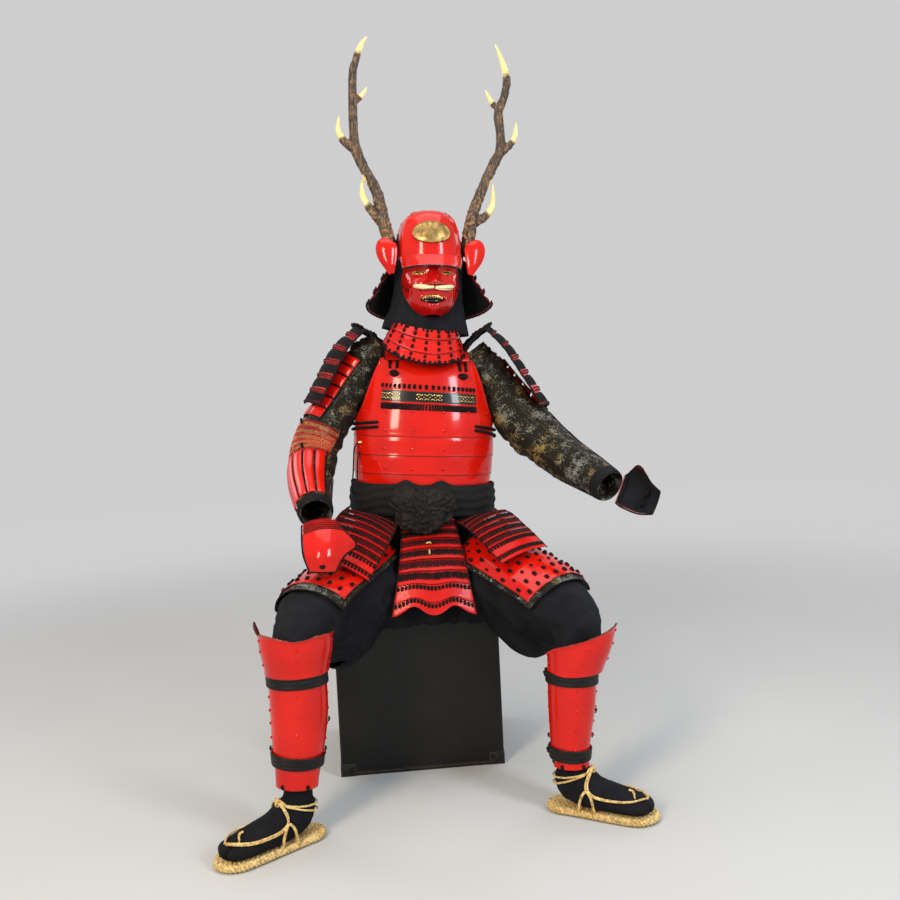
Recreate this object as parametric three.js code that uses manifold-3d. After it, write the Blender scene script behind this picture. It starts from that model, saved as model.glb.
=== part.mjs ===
// A suit of samurai armour in the pose of a seated wearer, on its own storage chest.
// Millimetres, +Z up. The suit faces -Y and the wearer's left side is +X. The origin is the centre of the
// chest's underside, on the floor. Cloth and plates are thin walls round an empty space.

import * as THREE from "three";
import { mergeVertices } from "three/addons/utils/BufferGeometryUtils.js";
import Module from "manifold-3d";

// ---------------------------------------------------------------- driving sizes

const GAP = 0.4; // between pieces that touch
const CLOTH = 2; // wall of cotton and brocade
const PLATE = 2.4; // wall of lacquered iron plate
const LAME_STEP = 1.6; // how far each lame stands over the next one
const CORD = 4; // straw and silk cords, thick

const CHEST = { width: 436, depth: 380, height: 450, lid: 52, board: 9 };
const SOLE = { length: 262, width: 98, thick: 20 };

// Where the three parts of the figure stand. lean: degrees towards +X, yaw: degrees towards +X.
const TORSO = { x: 38, y: -85, z: 696, lean: 4, yaw: 0 };
const HEAD = { x: 88, y: -88, z: 1356, lean: 2.6, yaw: 3 };

// ---------------------------------------------------------------- small maths

const V = (x, y, z) => new THREE.Vector3(x, y, z);
const rad = THREE.MathUtils.degToRad;
const mix = THREE.MathUtils.lerp;
const clamp = THREE.MathUtils.clamp;
const bump = (x, centre, reach) => Math.exp(-(((x - centre) / reach) ** 2));

// The row of a table at t from 0 to 1, on a smooth curve through its rows.
function rowAt(table, t) {
  const s = clamp(t, 0, 1) * (table.length - 1);
  const i = Math.min(Math.floor(s), table.length - 2);
  const f = s - i;
  const row = {};
  for (const key of Object.keys(table[0])) {
    const at = (k) => table[clamp(k, 0, table.length - 1)][key];
    const [a, b, c, d] = [at(i - 1), at(i), at(i + 1), at(i + 2)];
    row[key] = b + 0.5 * f * (c - a + f * (2 * a - 5 * b + 4 * c - d + f * (3 * (b - c) + d - a)));
  }
  return row;
}

const centreAt = (table, t) => {
  const { x, y, z } = rowAt(table, t);
  return V(x, y, z);
};

// The axes of a section: along the path, to the wearer's left, and out to the front or top.
function axesAt(table, t, side) {
  const step = 0.02;
  const along = centreAt(table, t + step).sub(centreAt(table, t - step)).normalize();
  const left = side.clone().addScaledVector(along, -side.dot(along)).normalize();
  return { along, left, front: along.clone().cross(left) };
}

// A tube's surface. Its table runs from the body outwards, with the columns x, y, z of the centre and the
// half sizes side, front and back. Angle 0 is the front (the top of a thigh), 90 the wearer's left.
function tube(table, { side = V(1, 0, 0), power = 2, relief = () => 0 } = {}) {
  return (angle, t, out = 0) => {
    const s = Math.sin(rad(angle));
    const c = Math.cos(rad(angle));
    const round = (q) => Math.sign(q) * Math.abs(q) ** (2 / power);
    const row = rowAt(table, t);
    const { left, front } = axesAt(table, t, side);
    const more = out + relief(angle, t);
    return V(row.x, row.y, row.z)
      .addScaledVector(left, (row.side + more) * round(s))
      .addScaledVector(front, ((c > 0 ? row.front : row.back) + more) * round(c));
  };
}

// A bent strip's surface, u from -1 to 1 across and t from 0 to 1 along. Its table has the columns x, y, z
// of the middle line, turn (degrees that the strip's width is turned about +Z, from +X), tip (degrees that
// its left edge is raised), half (half its width) and crown (how far the middle stands out over the edges).
function strip(table) {
  return (u, t, out = 0) => {
    const row = rowAt(table, t);
    const step = 0.02;
    const along = centreAt(table, t + step).sub(centreAt(table, t - step)).normalize();
    const flat = Math.cos(rad(row.tip));
    const across = V(flat * Math.cos(rad(row.turn)), flat * Math.sin(rad(row.turn)), Math.sin(rad(row.tip)));
    across.addScaledVector(along, -across.dot(along)).normalize();
    const face = along.clone().cross(across);
    return V(row.x, row.y, row.z)
      .addScaledVector(across, row.half * u)
      .addScaledVector(face, row.crown * (1 - u * u) + out);
  };
}

// ---------------------------------------------------------------- solids from grids of points

const spread = (from, to, count) => Array.from({ length: count + 1 }, (_, i) => mix(from, to, i / count));
const gridOf = (rows, columns, point) => rows.map((t) => columns.map((u) => point(u, t)));

// A closed solid between two grids of points. round: the columns go all the way round.
// tip: the last row meets in one point.
function between(outer, inner, { round = false, tip = false } = {}) {
  const rows = outer.length;
  const columns = outer[0].length;
  const points = [];
  const layers = [outer, inner].map((grid) =>
    grid.map((row, r) => {
      const single = tip && r === rows - 1;
      if (single) points.push(row[0]);
      else points.push(...row);
      const first = points.length - (single ? 1 : columns);
      return row.map((_, c) => (single ? first : first + c));
    }),
  );
  const faces = [];
  const quad = (a, b, c, d) => {
    if (a !== b && b !== c && c !== a) faces.push(a, b, c);
    if (a !== c && c !== d && d !== a) faces.push(a, c, d);
  };
  const [o, i] = layers;
  const spans = round ? columns : columns - 1;
  for (let r = 0; r < rows - 1; r++)
    for (let c = 0; c < spans; c++) {
      const n = (c + 1) % columns;
      quad(o[r][c], o[r][n], o[r + 1][n], o[r + 1][c]);
      quad(i[r][c], i[r + 1][c], i[r + 1][n], i[r][n]);
    }
  for (let c = 0; c < spans; c++) {
    const n = (c + 1) % columns;
    quad(i[0][c], i[0][n], o[0][n], o[0][c]);
    if (!tip) quad(o[rows - 1][c], o[rows - 1][n], i[rows - 1][n], i[rows - 1][c]);
  }
  if (!round)
    for (let r = 0; r < rows - 1; r++) {
      const e = columns - 1;
      quad(o[r][0], o[r + 1][0], i[r + 1][0], i[r][0]);
      quad(i[r][e], i[r + 1][e], o[r + 1][e], o[r][e]);
    }
  return facingOut(points, faces);
}

// A closed solid from one grid that goes round, with a flat or pointed face at each end.
function filled(grid, { tip = false } = {}) {
  const rows = grid.length;
  const columns = grid[0].length;
  const middle = (row) => row.reduce((sum, p) => sum.add(p), V(0, 0, 0)).divideScalar(row.length);
  const points = grid.slice(0, tip ? -1 : undefined).flat();
  const at = (r, c) => r * columns + (c % columns);
  const faces = [];
  const last = tip ? rows - 2 : rows - 1;
  for (let r = 0; r < last; r++)
    for (let c = 0; c < columns; c++) {
      faces.push(at(r, c), at(r, c + 1), at(r + 1, c + 1));
      faces.push(at(r, c), at(r + 1, c + 1), at(r + 1, c));
    }
  const start = points.push(middle(grid[0])) - 1;
  const end = points.push(tip ? grid[rows - 1][0] : middle(grid[rows - 1])) - 1;
  for (let c = 0; c < columns; c++) {
    faces.push(start, at(0, c + 1), at(0, c));
    faces.push(end, at(last, c), at(last, c + 1));
  }
  return facingOut(points, faces);
}

function facingOut(points, faces) {
  let volume = 0;
  for (let f = 0; f < faces.length; f += 3) {
    const [a, b, c] = [points[faces[f]], points[faces[f + 1]], points[faces[f + 2]]];
    volume += a.dot(b.clone().cross(c));
  }
  if (volume < 0) faces.reverse();
  const geometry = new THREE.BufferGeometry().setFromPoints(points);
  geometry.setIndex(faces);
  return geometry;
}

// A wall that goes all round a surface, from t0 to t1.
function sleeveOf(surface, { t0 = 0, t1 = 1, rows, columns, wall, out = 0 }) {
  const angles = spread(0, 360, columns).slice(0, -1);
  const places = spread(t0, t1, rows);
  const skin = (off) => gridOf(places, angles, (u, t) => surface(u, t, off));
  return between(skin(out), skin(out - wall), { round: true });
}

// A wall that is closed at the top of a surface, where all its points meet.
function domeOf(surface, { rows, columns, wall }) {
  const angles = spread(0, 360, columns).slice(0, -1);
  const point = (angle, t, out) => (t > 0.001 ? surface(angle, t, out) : surface(angle, t).add(V(0, 0, out)));
  const skin = (off) => gridOf(spread(1, 0, rows), angles, (u, t) => point(u, t, off));
  return between(skin(0), skin(-wall), { round: true, tip: true });
}

// A wall over a part of a surface, between the columns left(t) and right(t). A list of rows holds the place
// t of each and how far it stands out.
function plateOf(surface, { t0 = 0, t1 = 1, rows, columns, wall, out = 0, left, right }) {
  const places = Array.isArray(rows) ? rows : spread(t0, t1, rows).map((t) => ({ t, rise: 0 }));
  const skin = (off) =>
    places.map(({ t, rise }) => spread(left(t), right(t), columns).map((u) => surface(u, t, off + rise)));
  return between(skin(out), skin(out - wall));
}

// The place t at which a table's column has a value. The column falls from row to row.
function placeOf(table, column, value) {
  let [low, high] = [0, 1];
  for (let i = 0; i < 30; i++) {
    const t = (low + high) / 2;
    if (rowAt(table, t)[column] > value) low = t;
    else high = t;
  }
  return low;
}

// The place t at which a falling line of points reaches a height.
function heightOn(line, height) {
  let [low, high] = [0, 1];
  for (let i = 0; i < 24; i++) {
    const t = (low + high) / 2;
    if (line(t).z > height) low = t;
    else high = t;
  }
  return low;
}

// ---------------------------------------------------------------- joining and cutting

const wasm = await Module();
wasm.setup();

function solid(geometry) {
  const bare = new THREE.BufferGeometry().setAttribute("position", geometry.getAttribute("position").clone());
  if (geometry.index) bare.setIndex(geometry.index.clone());
  const merged = mergeVertices(bare, 1e-4);
  const triVerts = new Uint32Array(merged.index.array);
  return new wasm.Manifold(
    new wasm.Mesh({ numProp: 3, vertProperties: merged.attributes.position.array, triVerts }),
  );
}

function meshed(body) {
  const mesh = body.getMesh();
  const geometry = new THREE.BufferGeometry();
  geometry.setAttribute("position", new THREE.BufferAttribute(new Float32Array(mesh.vertProperties), 3));
  geometry.setIndex([...mesh.triVerts]);
  return geometry;
}

const simpler = (part, by) => meshed(solid(part).simplify(by));
const joined = (...parts) => meshed(parts.map(solid).reduce((a, b) => a.add(b)));
const cut = (part, ...tools) => meshed(tools.map(solid).reduce((a, b) => a.subtract(b), solid(part)));
const shared = (part, tool) => meshed(solid(part).intersect(solid(tool)));

function block(x0, x1, y0, y1, z0, z1) {
  const box = new THREE.BoxGeometry(x1 - x0, y1 - y0, z1 - z0);
  return box.translate((x0 + x1) / 2, (y0 + y1) / 2, (z0 + z1) / 2);
}

// A round cord or tine through points with the columns x, y, z and r, its radius.
function rope(table, { sides = 6, steps, tip = false, side = V(1, 0, 0) }) {
  const rows = table.map(({ x, y, z, r }) => ({ x, y, z, side: r, front: r, back: r }));
  const surface = tube(rows, { side });
  return filled(gridOf(spread(0, 1, steps), spread(0, 360, sides).slice(0, -1), surface), { tip });
}

// ---------------------------------------------------------------- materials

const finish = (color, roughness, metalness = 0) =>
  new THREE.MeshStandardMaterial({ color, roughness, metalness });

const redLacquer = finish(0xd01a10, 0.25);
const blackLacquer = finish(0x17130f, 0.3);
const laced = finish(0x5a0d12, 0.7);
const brocade = finish(0x4a3c22, 0.55, 0.3);
const blackCloth = finish(0x15171b, 0.9);
const sashCloth = finish(0x1c1a18, 0.85);
const brass = finish(0x9a7a3c, 0.4, 0.9);
const antler = finish(0x6b4a2a, 0.5);
const straw = finish(0xc9a050, 0.85);
const ivory = finish(0xe9d9a0, 0.8);

const armour = new THREE.Group();
const torso = new THREE.Group();
const head = new THREE.Group();
armour.add(torso, head);
for (const [group, { x, y, z, lean, yaw }] of [[torso, TORSO], [head, HEAD]]) {
  group.position.set(x, y, z);
  group.rotation.set(0, rad(lean), rad(yaw), "ZYX");
}

function add(name, geometry, material, group = armour) {
  const mesh = new THREE.Mesh(geometry, material);
  mesh.name = name;
  group.add(mesh);
}

// ---------------------------------------------------------------- storage chest

function chest() {
  const { width, depth, height, lid, board } = CHEST;
  const [w, d] = [width / 2, depth / 2];
  const split = height - lid;
  const body = cut(
    block(-w, w, -d, d, 0, split - GAP),
    block(-w + board, w - board, -d + board, d - board, board, height),
  );
  const top = cut(
    block(-w, w, -d, d, split, height),
    block(-w + board, w - board, -d + board, d - board, 0, height - board),
  );
  add("chest_body", body, blackLacquer);
  add("chest_lid", top, blackLacquer);
}

// ---------------------------------------------------------------- trousers

// Right and left leg, from the seat over the thigh and the knee to the hem under it.
const TROUSER_LEG = {
  right: [
    { x: -42, y: 30, z: 545, side: 88, front: 88, back: 84 },
    { x: -75, y: -90, z: 546, side: 96, front: 86, back: 86 },
    { x: -114, y: -172, z: 540, side: 104, front: 88, back: 82 },
    { x: -150, y: -250, z: 528, side: 108, front: 88, back: 146 },
    { x: -198, y: -342, z: 510, side: 106, front: 84, back: 190 },
    { x: -252, y: -440, z: 486, side: 96, front: 80, back: 120 },
    { x: -287, y: -506, z: 440, side: 70, front: 74, back: 68 },
    { x: -294, y: -520, z: 396, side: 54, front: 46, back: 44 },
    { x: -295, y: -522, z: 366, side: 46, front: 40, back: 38 },
  ],
  left: [
    { x: 108, y: 30, z: 545, side: 88, front: 86, back: 84 },
    { x: 140, y: -90, z: 546, side: 96, front: 84, back: 86 },
    { x: 186, y: -168, z: 540, side: 104, front: 85, back: 82 },
    { x: 230, y: -242, z: 522, side: 108, front: 86, back: 150 },
    { x: 290, y: -322, z: 494, side: 106, front: 82, back: 194 },
    { x: 342, y: -398, z: 458, side: 94, front: 80, back: 152 },
    { x: 366, y: -454, z: 408, side: 70, front: 70, back: 74 },
    { x: 352, y: -484, z: 352, side: 48, front: 42, back: 44 },
    { x: 348, y: -492, z: 324, side: 42, front: 38, back: 40 },
  ],
};
const SEAT = [
  { x: 38, y: -84, z: 724, side: 150, front: 100, back: 92 },
  { x: 36, y: -80, z: 670, side: 164, front: 108, back: 98 },
  { x: 33, y: -70, z: 590, side: 184, front: 116, back: 132 },
  { x: 32, y: -62, z: 500, side: 190, front: 116, back: 158 },
  { x: 32, y: -60, z: 452, side: 178, front: 108, back: 146 },
];
// The cloth between the thighs, from the right thigh to the left one.
const LAP = [
  { x: -150, y: -256, z: 484, side: 48, front: 50, back: 98 },
  { x: -66, y: -256, z: 502, side: 48, front: 50, back: 104 },
  { x: 14, y: -256, z: 510, side: 48, front: 46, back: 106 },
  { x: 104, y: -256, z: 502, side: 48, front: 50, back: 104 },
  { x: 200, y: -256, z: 484, side: 48, front: 50, back: 92 },
];

// The garment's seams: the middle one at an x, and across each leg before the hips and before the knee at a y.
const TROUSER_CUTS = { seam: 32, hip: -192, knee: -306 };

const SIDES = [
  { name: "right", sign: -1 },
  { name: "left", sign: 1 },
];

const legSurface = Object.fromEntries(SIDES.map(({ name }) => [name, tube(TROUSER_LEG[name])]));

function trousers() {
  const round = spread(0, 360, 14).slice(0, -1);
  const body = (surface, rows, out, reach = 0) =>
    filled(gridOf(spread(-reach, 1 + reach, rows), round, (u, t) => surface(u, t, out)));
  const lap = tube(LAP, { side: V(0, 1, 0) });
  const seat = tube(SEAT);
  const parts = (out) => [
    body(legSurface.right, 9, out),
    body(legSurface.left, 9, out),
    body(seat, 4, out),
    body(lap, 4, out),
  ];
  const hem = (leg) => {
    const end = rowAt(leg, 1);
    const past = { ...end, z: end.z - 12 };
    return filled(gridOf([0, 1], round, (u, t) => tube([{ ...end, z: end.z + 12 }, past])(u, t, -CLOTH)));
  };
  const waist = tube([{ ...SEAT[0], z: SEAT[0].z + 12 }, { ...SEAT[0], z: SEAT[0].z - 12 }]);
  const mouth = filled(gridOf([0, 1], round, (u, t) => waist(u, t, -CLOTH)));
  const { width, depth, height } = CHEST;
  const seatOf = (far) =>
    block(-width / 2 - far, width / 2 + far, -depth / 2 - far, depth / 2 + far, 0, height + far);
  const garment = cut(
    cut(joined(...parts(0)), seatOf(GAP)),
    cut(joined(...parts(-CLOTH)), seatOf(GAP + CLOTH)),
    joined(hem(TROUSER_LEG.right), hem(TROUSER_LEG.left), mouth),
  );
  const { seam, hip, knee } = TROUSER_CUTS;
  const piece = (name, x0, x1, y0, y1) => {
    const box = block(x0 + GAP / 2, x1 - GAP / 2, y0 + GAP / 2, y1 - GAP / 2, 0, 900);
    add(name, simpler(shared(garment, box), 0.15), blackCloth);
  };
  piece("trouser_hip_right", -700, seam, hip, 400);
  piece("trouser_hip_left", seam, 700, hip, 400);
  piece("trouser_thigh_right", -700, seam, knee, hip);
  piece("trouser_thigh_left", seam, 700, knee, hip);
  piece("trouser_knee_right", -700, seam, -800, knee);
  piece("trouser_knee_left", seam, 700, -800, knee);
}

// ---------------------------------------------------------------- cuirass and what hangs from it

// From the chest to the hem, in the torso's own frame. reachFront and reachBack are how far the front and
// the back plate go round, in degrees from the middle of each.
const CUIRASS = [
  { x: 0, y: 0, z: 398, side: 160, front: 92, back: 98, reachFront: 47, reachBack: 45 },
  { x: 0, y: 0, z: 360, side: 168, front: 110, back: 108, reachFront: 53, reachBack: 47 },
  { x: 0, y: 0, z: 310, side: 176, front: 123, back: 112, reachFront: 60, reachBack: 52 },
  { x: 0, y: 0, z: 265, side: 182, front: 130, back: 113, reachFront: 68, reachBack: 66 },
  { x: 0, y: 0, z: 225, side: 188, front: 134, back: 112, reachFront: 84, reachBack: 84 },
  { x: 0, y: 0, z: 190, side: 190, front: 135, back: 111, reachFront: 89.8, reachBack: 89.8 },
  { x: 0, y: 0, z: 120, side: 188, front: 132, back: 106, reachFront: 89.8, reachBack: 89.8 },
  { x: 0, y: 0, z: 40, side: 180, front: 126, back: 100, reachFront: 89.8, reachBack: 89.8 },
];
const LAME_EDGES = [194, 144, 95, 40]; // heights of the edges of the three waist lames
const cuirass = tube(CUIRASS, { power: 2.2 });

// The back plate's straps run over the shoulders to the chest. This is the wearer's right one, from the chest
// to where it is fixed in the back plate, and the left one is its mirror.
const STRAP = [
  { x: -88, y: -104, z: 366, turn: 0, tip: 0, half: 21, crown: 2 },
  { x: -90, y: -92, z: 396, turn: 0, tip: 4, half: 21, crown: 2 },
  { x: -90, y: -58, z: 414, turn: 0, tip: 10, half: 21, crown: 2 },
  { x: -86, y: 14, z: 440, turn: 0, tip: 12, half: 23, crown: 2 },
  { x: -86, y: 74, z: 430, turn: 0, tip: 10, half: 23, crown: 2 },
  { x: -87, y: 94, z: 404, turn: 0, tip: 4, half: 23, crown: 2 },
  { x: -86, y: 99, z: 372, turn: 0, tip: 0, half: 23, crown: 2 },
  { x: -86, y: 95, z: 342, turn: 0, tip: 0, half: 23, crown: 2 },
];
const mirrored = (table) =>
  table.map((row) => ({ ...row, x: -row.x, turn: -row.turn, tip: -row.tip }));
const sides = { left: () => -1, right: () => 1 };

function cuirassPlates() {
  const at = (z) => placeOf(CUIRASS, "z", z);
  const reach = (column) => (t) => Math.min(rowAt(CUIRASS, t)[column], 89.8);
  const span = (column, middle) => ({
    left: (t) => middle - reach(column)(t),
    right: (t) => middle + reach(column)(t),
    columns: 10,
    wall: PLATE,
  });
  const lames = LAME_EDGES.slice(1).flatMap((low, k) => [
    { t: at(LAME_EDGES[k]) + 0.001, rise: 0 },
    { t: at(low), rise: LAME_STEP },
  ]);
  const rowsTo = (count) => spread(0, at(LAME_EDGES[0]) - 0.002, count).map((t) => ({ t, rise: 0 }));
  add("cuirass_front", plateOf(cuirass, { rows: [...rowsTo(6), ...lames], ...span("reachFront", 0) }), redLacquer, torso);
  const back = plateOf(cuirass, { rows: [...rowsTo(5), ...lames], ...span("reachBack", 180) });
  const straps = SIDES.map(({ sign }) => {
    const surface = strip(sign < 0 ? STRAP : mirrored(STRAP));
    return plateOf(surface, { rows: 9, columns: 2, wall: 4, ...sides });
  });
  add("cuirass_back", joined(back, ...straps), redLacquer, torso);
}

// The fan of three lames under the chin, in the torso's frame.
const THROAT = [
  { x: -3, y: -22, z: 500, side: 90, front: 101, back: 60 },
  { x: -12, y: -2, z: 422, side: 122, front: 150, back: 60 },
];
const THROAT_REACH = 58;
const throatCone = tube(THROAT);
const throat = (angle, t, out) => throatCone(angle, t * (1 - 0.28 * (angle / THROAT_REACH) ** 2), out);

function throatGuard() {
  const rows = [0, 1 / 3, 2 / 3].flatMap((t) => [
    { t: t + 0.001, rise: 0 },
    { t: t + 1 / 3, rise: 2.5 },
  ]);
  const span = { left: () => -THROAT_REACH, right: () => THROAT_REACH };
  add("throat_guard", plateOf(throat, { rows, columns: 10, wall: PLATE, ...span }), redLacquer, torso);
}

// The sash, round the hem of the cuirass, and its knot in front.
const SASH = [
  { x: 0, y: 0, z: 70, side: 190, front: 137, back: 111 },
  { x: 0, y: 0, z: 28, side: 193, front: 142, back: 116 },
  { x: 0, y: 0, z: -12, side: 190, front: 140, back: 115 },
];
const KNOT = { x: -9, y: -166, z: 8, half: 96, deep: 28 };
const sashSurface = tube(SASH, { power: 2.2 });

function sash() {
  add("sash", sleeveOf(sashSurface, { rows: 2, columns: 20, wall: 3 }), sashCloth, torso);
  const { x, y, z, half, deep } = KNOT;
  const across = [
    { x: x - half, y: y + 8, z: z + 18, side: 14, front: 10, back: 24 },
    { x: x - half * 0.6, y: y - 2, z: z + 22, side: 44, front: deep, back: 40 },
    { x: x - half * 0.1, y: y - 8, z: z - 6, side: 60, front: deep + 4, back: 40 },
    { x: x + half * 0.5, y: y - 2, z: z + 12, side: 42, front: deep, back: 40 },
    { x: x + half, y: y + 8, z: z + 8, side: 16, front: 10, back: 24 },
  ];
  const surface = tube(across, { side: V(0, 0, 1) });
  const knot = filled(gridOf(spread(0, 1, 8), spread(0, 360, 10).slice(0, -1), surface));
  const round = spread(0, 360, 20).slice(0, -1);
  const taller = tube(SASH.map((row, i) => ({ ...row, z: row.z + (1 - i) })), { power: 2.2 });
  const behind = filled(gridOf(spread(0, 1, 2), round, (u, t) => taller(u, t, GAP)));
  const panel = plateOf(strip(SKIRT.front), { rows: 6, columns: 6, wall: 60, out: GAP, ...sides });
  add("sash_knot", cut(knot, behind, inTorso(panel)), sashCloth, torso);
}

// A world-space shape in the torso's own frame.
function inTorso(geometry) {
  torso.updateMatrixWorld(true);
  return geometry.applyMatrix4(torso.matrixWorld.clone().invert());
}

// A doubled black cord that hangs in a loop from the wearer's right side of the cuirass, and its thickness.
const SIDE_CORD = 4;
const SIDE_CORD_ROUTE = [
  [-124.5, -152, 882],
  [-131, -154, 879],
  [-137, -154, 870],
  [-140, -153, 855],
  [-142, -152, 830],
  [-145, -151, 800],
  [-148, -150, 772],
  [-149.5, -150, 758],
  [-146, -150, 748],
  [-140, -150, 747],
  [-136, -150, 755],
  [-135, -150, 772],
  [-134, -151, 800],
  [-132, -152, 826],
  [-129, -153, 846],
  [-124, -153, 858],
];

function sideCord() {
  const route = new THREE.CatmullRomCurve3(SIDE_CORD_ROUTE.map((p) => V(...p)));
  const section = new THREE.Shape().absarc(0, 0, SIDE_CORD / 2, 0, 2 * Math.PI);
  const steps = Math.round(route.getLength() / (3 * SIDE_CORD));
  const cord = new THREE.ExtrudeGeometry(section, { steps, extrudePath: route, curveSegments: 4 });
  add("side_cord", simpler(cord, 0.01), blackCloth);
}

// The hanging panels of the skirt, each from its top edge down.
const SKIRT = {
  front: [
    { x: 38, y: -205, z: 702, turn: 0, tip: 0, half: 66, crown: 6 },
    { x: 44, y: -222, z: 650, turn: 0, tip: 0, half: 72, crown: 8 },
    { x: 44, y: -296, z: 560, turn: 0, tip: 2, half: 86, crown: 12 },
    { x: 40, y: -332, z: 448, turn: 0, tip: 5, half: 106, crown: 14 },
  ],
  front_right: [
    { x: -86, y: -186, z: 684, turn: -34, tip: -4, half: 60, crown: 6 },
    { x: -112, y: -250, z: 682, turn: -28, tip: -28, half: 72, crown: 10 },
    { x: -148, y: -332, z: 640, turn: -18, tip: -28, half: 74, crown: 12 },
    { x: -184, y: -398, z: 592, turn: -12, tip: -27, half: 72, crown: 12 },
  ],
  front_left: [
    { x: 158, y: -184, z: 664, turn: 36, tip: -4, half: 54, crown: 6 },
    { x: 196, y: -242, z: 668, turn: 38, tip: 16, half: 66, crown: 10 },
    { x: 236, y: -300, z: 630, turn: 36, tip: 14, half: 72, crown: 12 },
    { x: 272, y: -350, z: 588, turn: 34, tip: 12, half: 74, crown: 12 },
  ],
  side_right: [
    { x: -162, y: -52, z: 694, turn: -90, tip: 0, half: 58, crown: 6 },
    { x: -196, y: -50, z: 650, turn: -90, tip: 0, half: 64, crown: 8 },
    { x: -226, y: -46, z: 560, turn: -90, tip: 0, half: 74, crown: 10 },
    { x: -240, y: -42, z: 480, turn: -74, tip: 0, half: 82, crown: 12 },
  ],
  side_left: [
    { x: 238, y: -52, z: 668, turn: 90, tip: 0, half: 58, crown: 6 },
    { x: 264, y: -50, z: 630, turn: 90, tip: 0, half: 64, crown: 8 },
    { x: 290, y: -46, z: 550, turn: 90, tip: 0, half: 74, crown: 10 },
    { x: 300, y: -42, z: 478, turn: 90, tip: 0, half: 82, crown: 12 },
  ],
  back_right: [
    { x: -78, y: 30, z: 694, turn: 215, tip: 0, half: 58, crown: 6 },
    { x: -96, y: 62, z: 640, turn: 212, tip: 0, half: 66, crown: 8 },
    { x: -108, y: 92, z: 560, turn: 205, tip: 0, half: 78, crown: 10 },
    { x: -112, y: 104, z: 480, turn: 200, tip: 0, half: 84, crown: 12 },
  ],
  back_left: [
    { x: 150, y: 30, z: 678, turn: 145, tip: 0, half: 58, crown: 6 },
    { x: 166, y: 62, z: 630, turn: 148, tip: 0, half: 66, crown: 8 },
    { x: 178, y: 92, z: 555, turn: 155, tip: 0, half: 78, crown: 10 },
    { x: 182, y: 104, z: 480, turn: 160, tip: 0, half: 84, crown: 12 },
  ],
};

function skirt() {
  for (const [place, table] of Object.entries(SKIRT)) {
    const surface = strip(table);
    const cusp = place === "front" ? 0.045 : 0;
    const down = (u, t) => t - cusp * (1 - Math.cos(2 * Math.PI * u)) * t ** 8;
    const plate = plateOf((u, t, out) => surface(u, down(u, t), out), { rows: 5, columns: place === "front" ? 8 : 4, wall: 3, ...sides });
    add(`skirt_panel_${place}`, plate, laced);
  }
}

// ---------------------------------------------------------------- thigh guards

// Where each guard lies on the top of its trouser leg: from and to along the leg, and round it in degrees.
// Its inner edge stands further off the leg, by flare.
const THIGH_GUARD = {
  right: { t0: 0.26, t1: 0.63, left: -92, right: 54, inner: 1, flare: 8 },
  left: { t0: 0.26, t1: 0.62, left: -62, right: 84, inner: -1, flare: 6 },
};
const THIGH_LIFT = 7;

function thighGuards() {
  for (const { name } of SIDES) {
    const { t0, t1, left, right, inner, flare } = THIGH_GUARD[name];
    const away = (angle) => flare * clamp((angle * inner - 30) / 56, 0, 1);
    const surface = (angle, t, out) => legSurface[name](angle, t, out + away(angle));
    const size = { t0, t1, rows: 6, columns: 7, wall: 4, out: THIGH_LIFT };
    const guard = plateOf(surface, { ...size, left: () => left, right: () => right });
    add(`thigh_guard_${name}`, guard, redLacquer);
  }
}

// ---------------------------------------------------------------- armoured sleeves

// From the shoulder over the elbow to the cuff.
const SLEEVE = {
  right: [
    { x: -52, y: -74, z: 1130, side: 50, front: 54, back: 54 },
    { x: -86, y: -76, z: 1106, side: 56, front: 58, back: 58 },
    { x: -128, y: -82, z: 1048, side: 58, front: 58, back: 58 },
    { x: -178, y: -98, z: 976, side: 56, front: 56, back: 56 },
    { x: -222, y: -122, z: 908, side: 62, front: 58, back: 58 },
    { x: -246, y: -158, z: 846, side: 60, front: 56, back: 58 },
    { x: -250, y: -236, z: 790, side: 53, front: 50, back: 50 },
    { x: -243, y: -318, z: 752, side: 44, front: 42, back: 42 },
    { x: -236, y: -380, z: 726, side: 37, front: 36, back: 36 },
  ],
  left: [
    { x: 190, y: -74, z: 1110, side: 50, front: 54, back: 54 },
    { x: 222, y: -78, z: 1062, side: 58, front: 58, back: 58 },
    { x: 270, y: -90, z: 994, side: 60, front: 56, back: 58 },
    { x: 328, y: -138, z: 902, side: 70, front: 60, back: 64 },
    { x: 392, y: -205, z: 832, side: 60, front: 56, back: 58 },
    { x: 448, y: -288, z: 786, side: 50, front: 47, back: 48 },
    { x: 492, y: -362, z: 750, side: 40, front: 37, back: 38 },
  ],
};
// Where the upper and the lower half of each sleeve meet, along it.
const ELBOW_SEAM = { right: 0.6, left: 0.58 };
const sleeveSurface = Object.fromEntries(SIDES.map(({ name }) => [name, tube(SLEEVE[name])]));

// Plates laid on the outside of a sleeve: along it, and round it in degrees.
const ARM_PLATES = {
  upper_arm_plates_right: { t0: 0.17, t1: 0.46, left: -96, right: -10, side: "right" },
  forearm_splints_right: { t0: 0.62, t1: 0.95, left: -110, right: 40, side: "right" },
  upper_arm_plates_left: { t0: 0.2, t1: 0.52, left: 70, right: 156, side: "left" },
  forearm_splints_left: { t0: 0.62, t1: 0.95, left: 60, right: 200, side: "left" },
};

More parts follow.
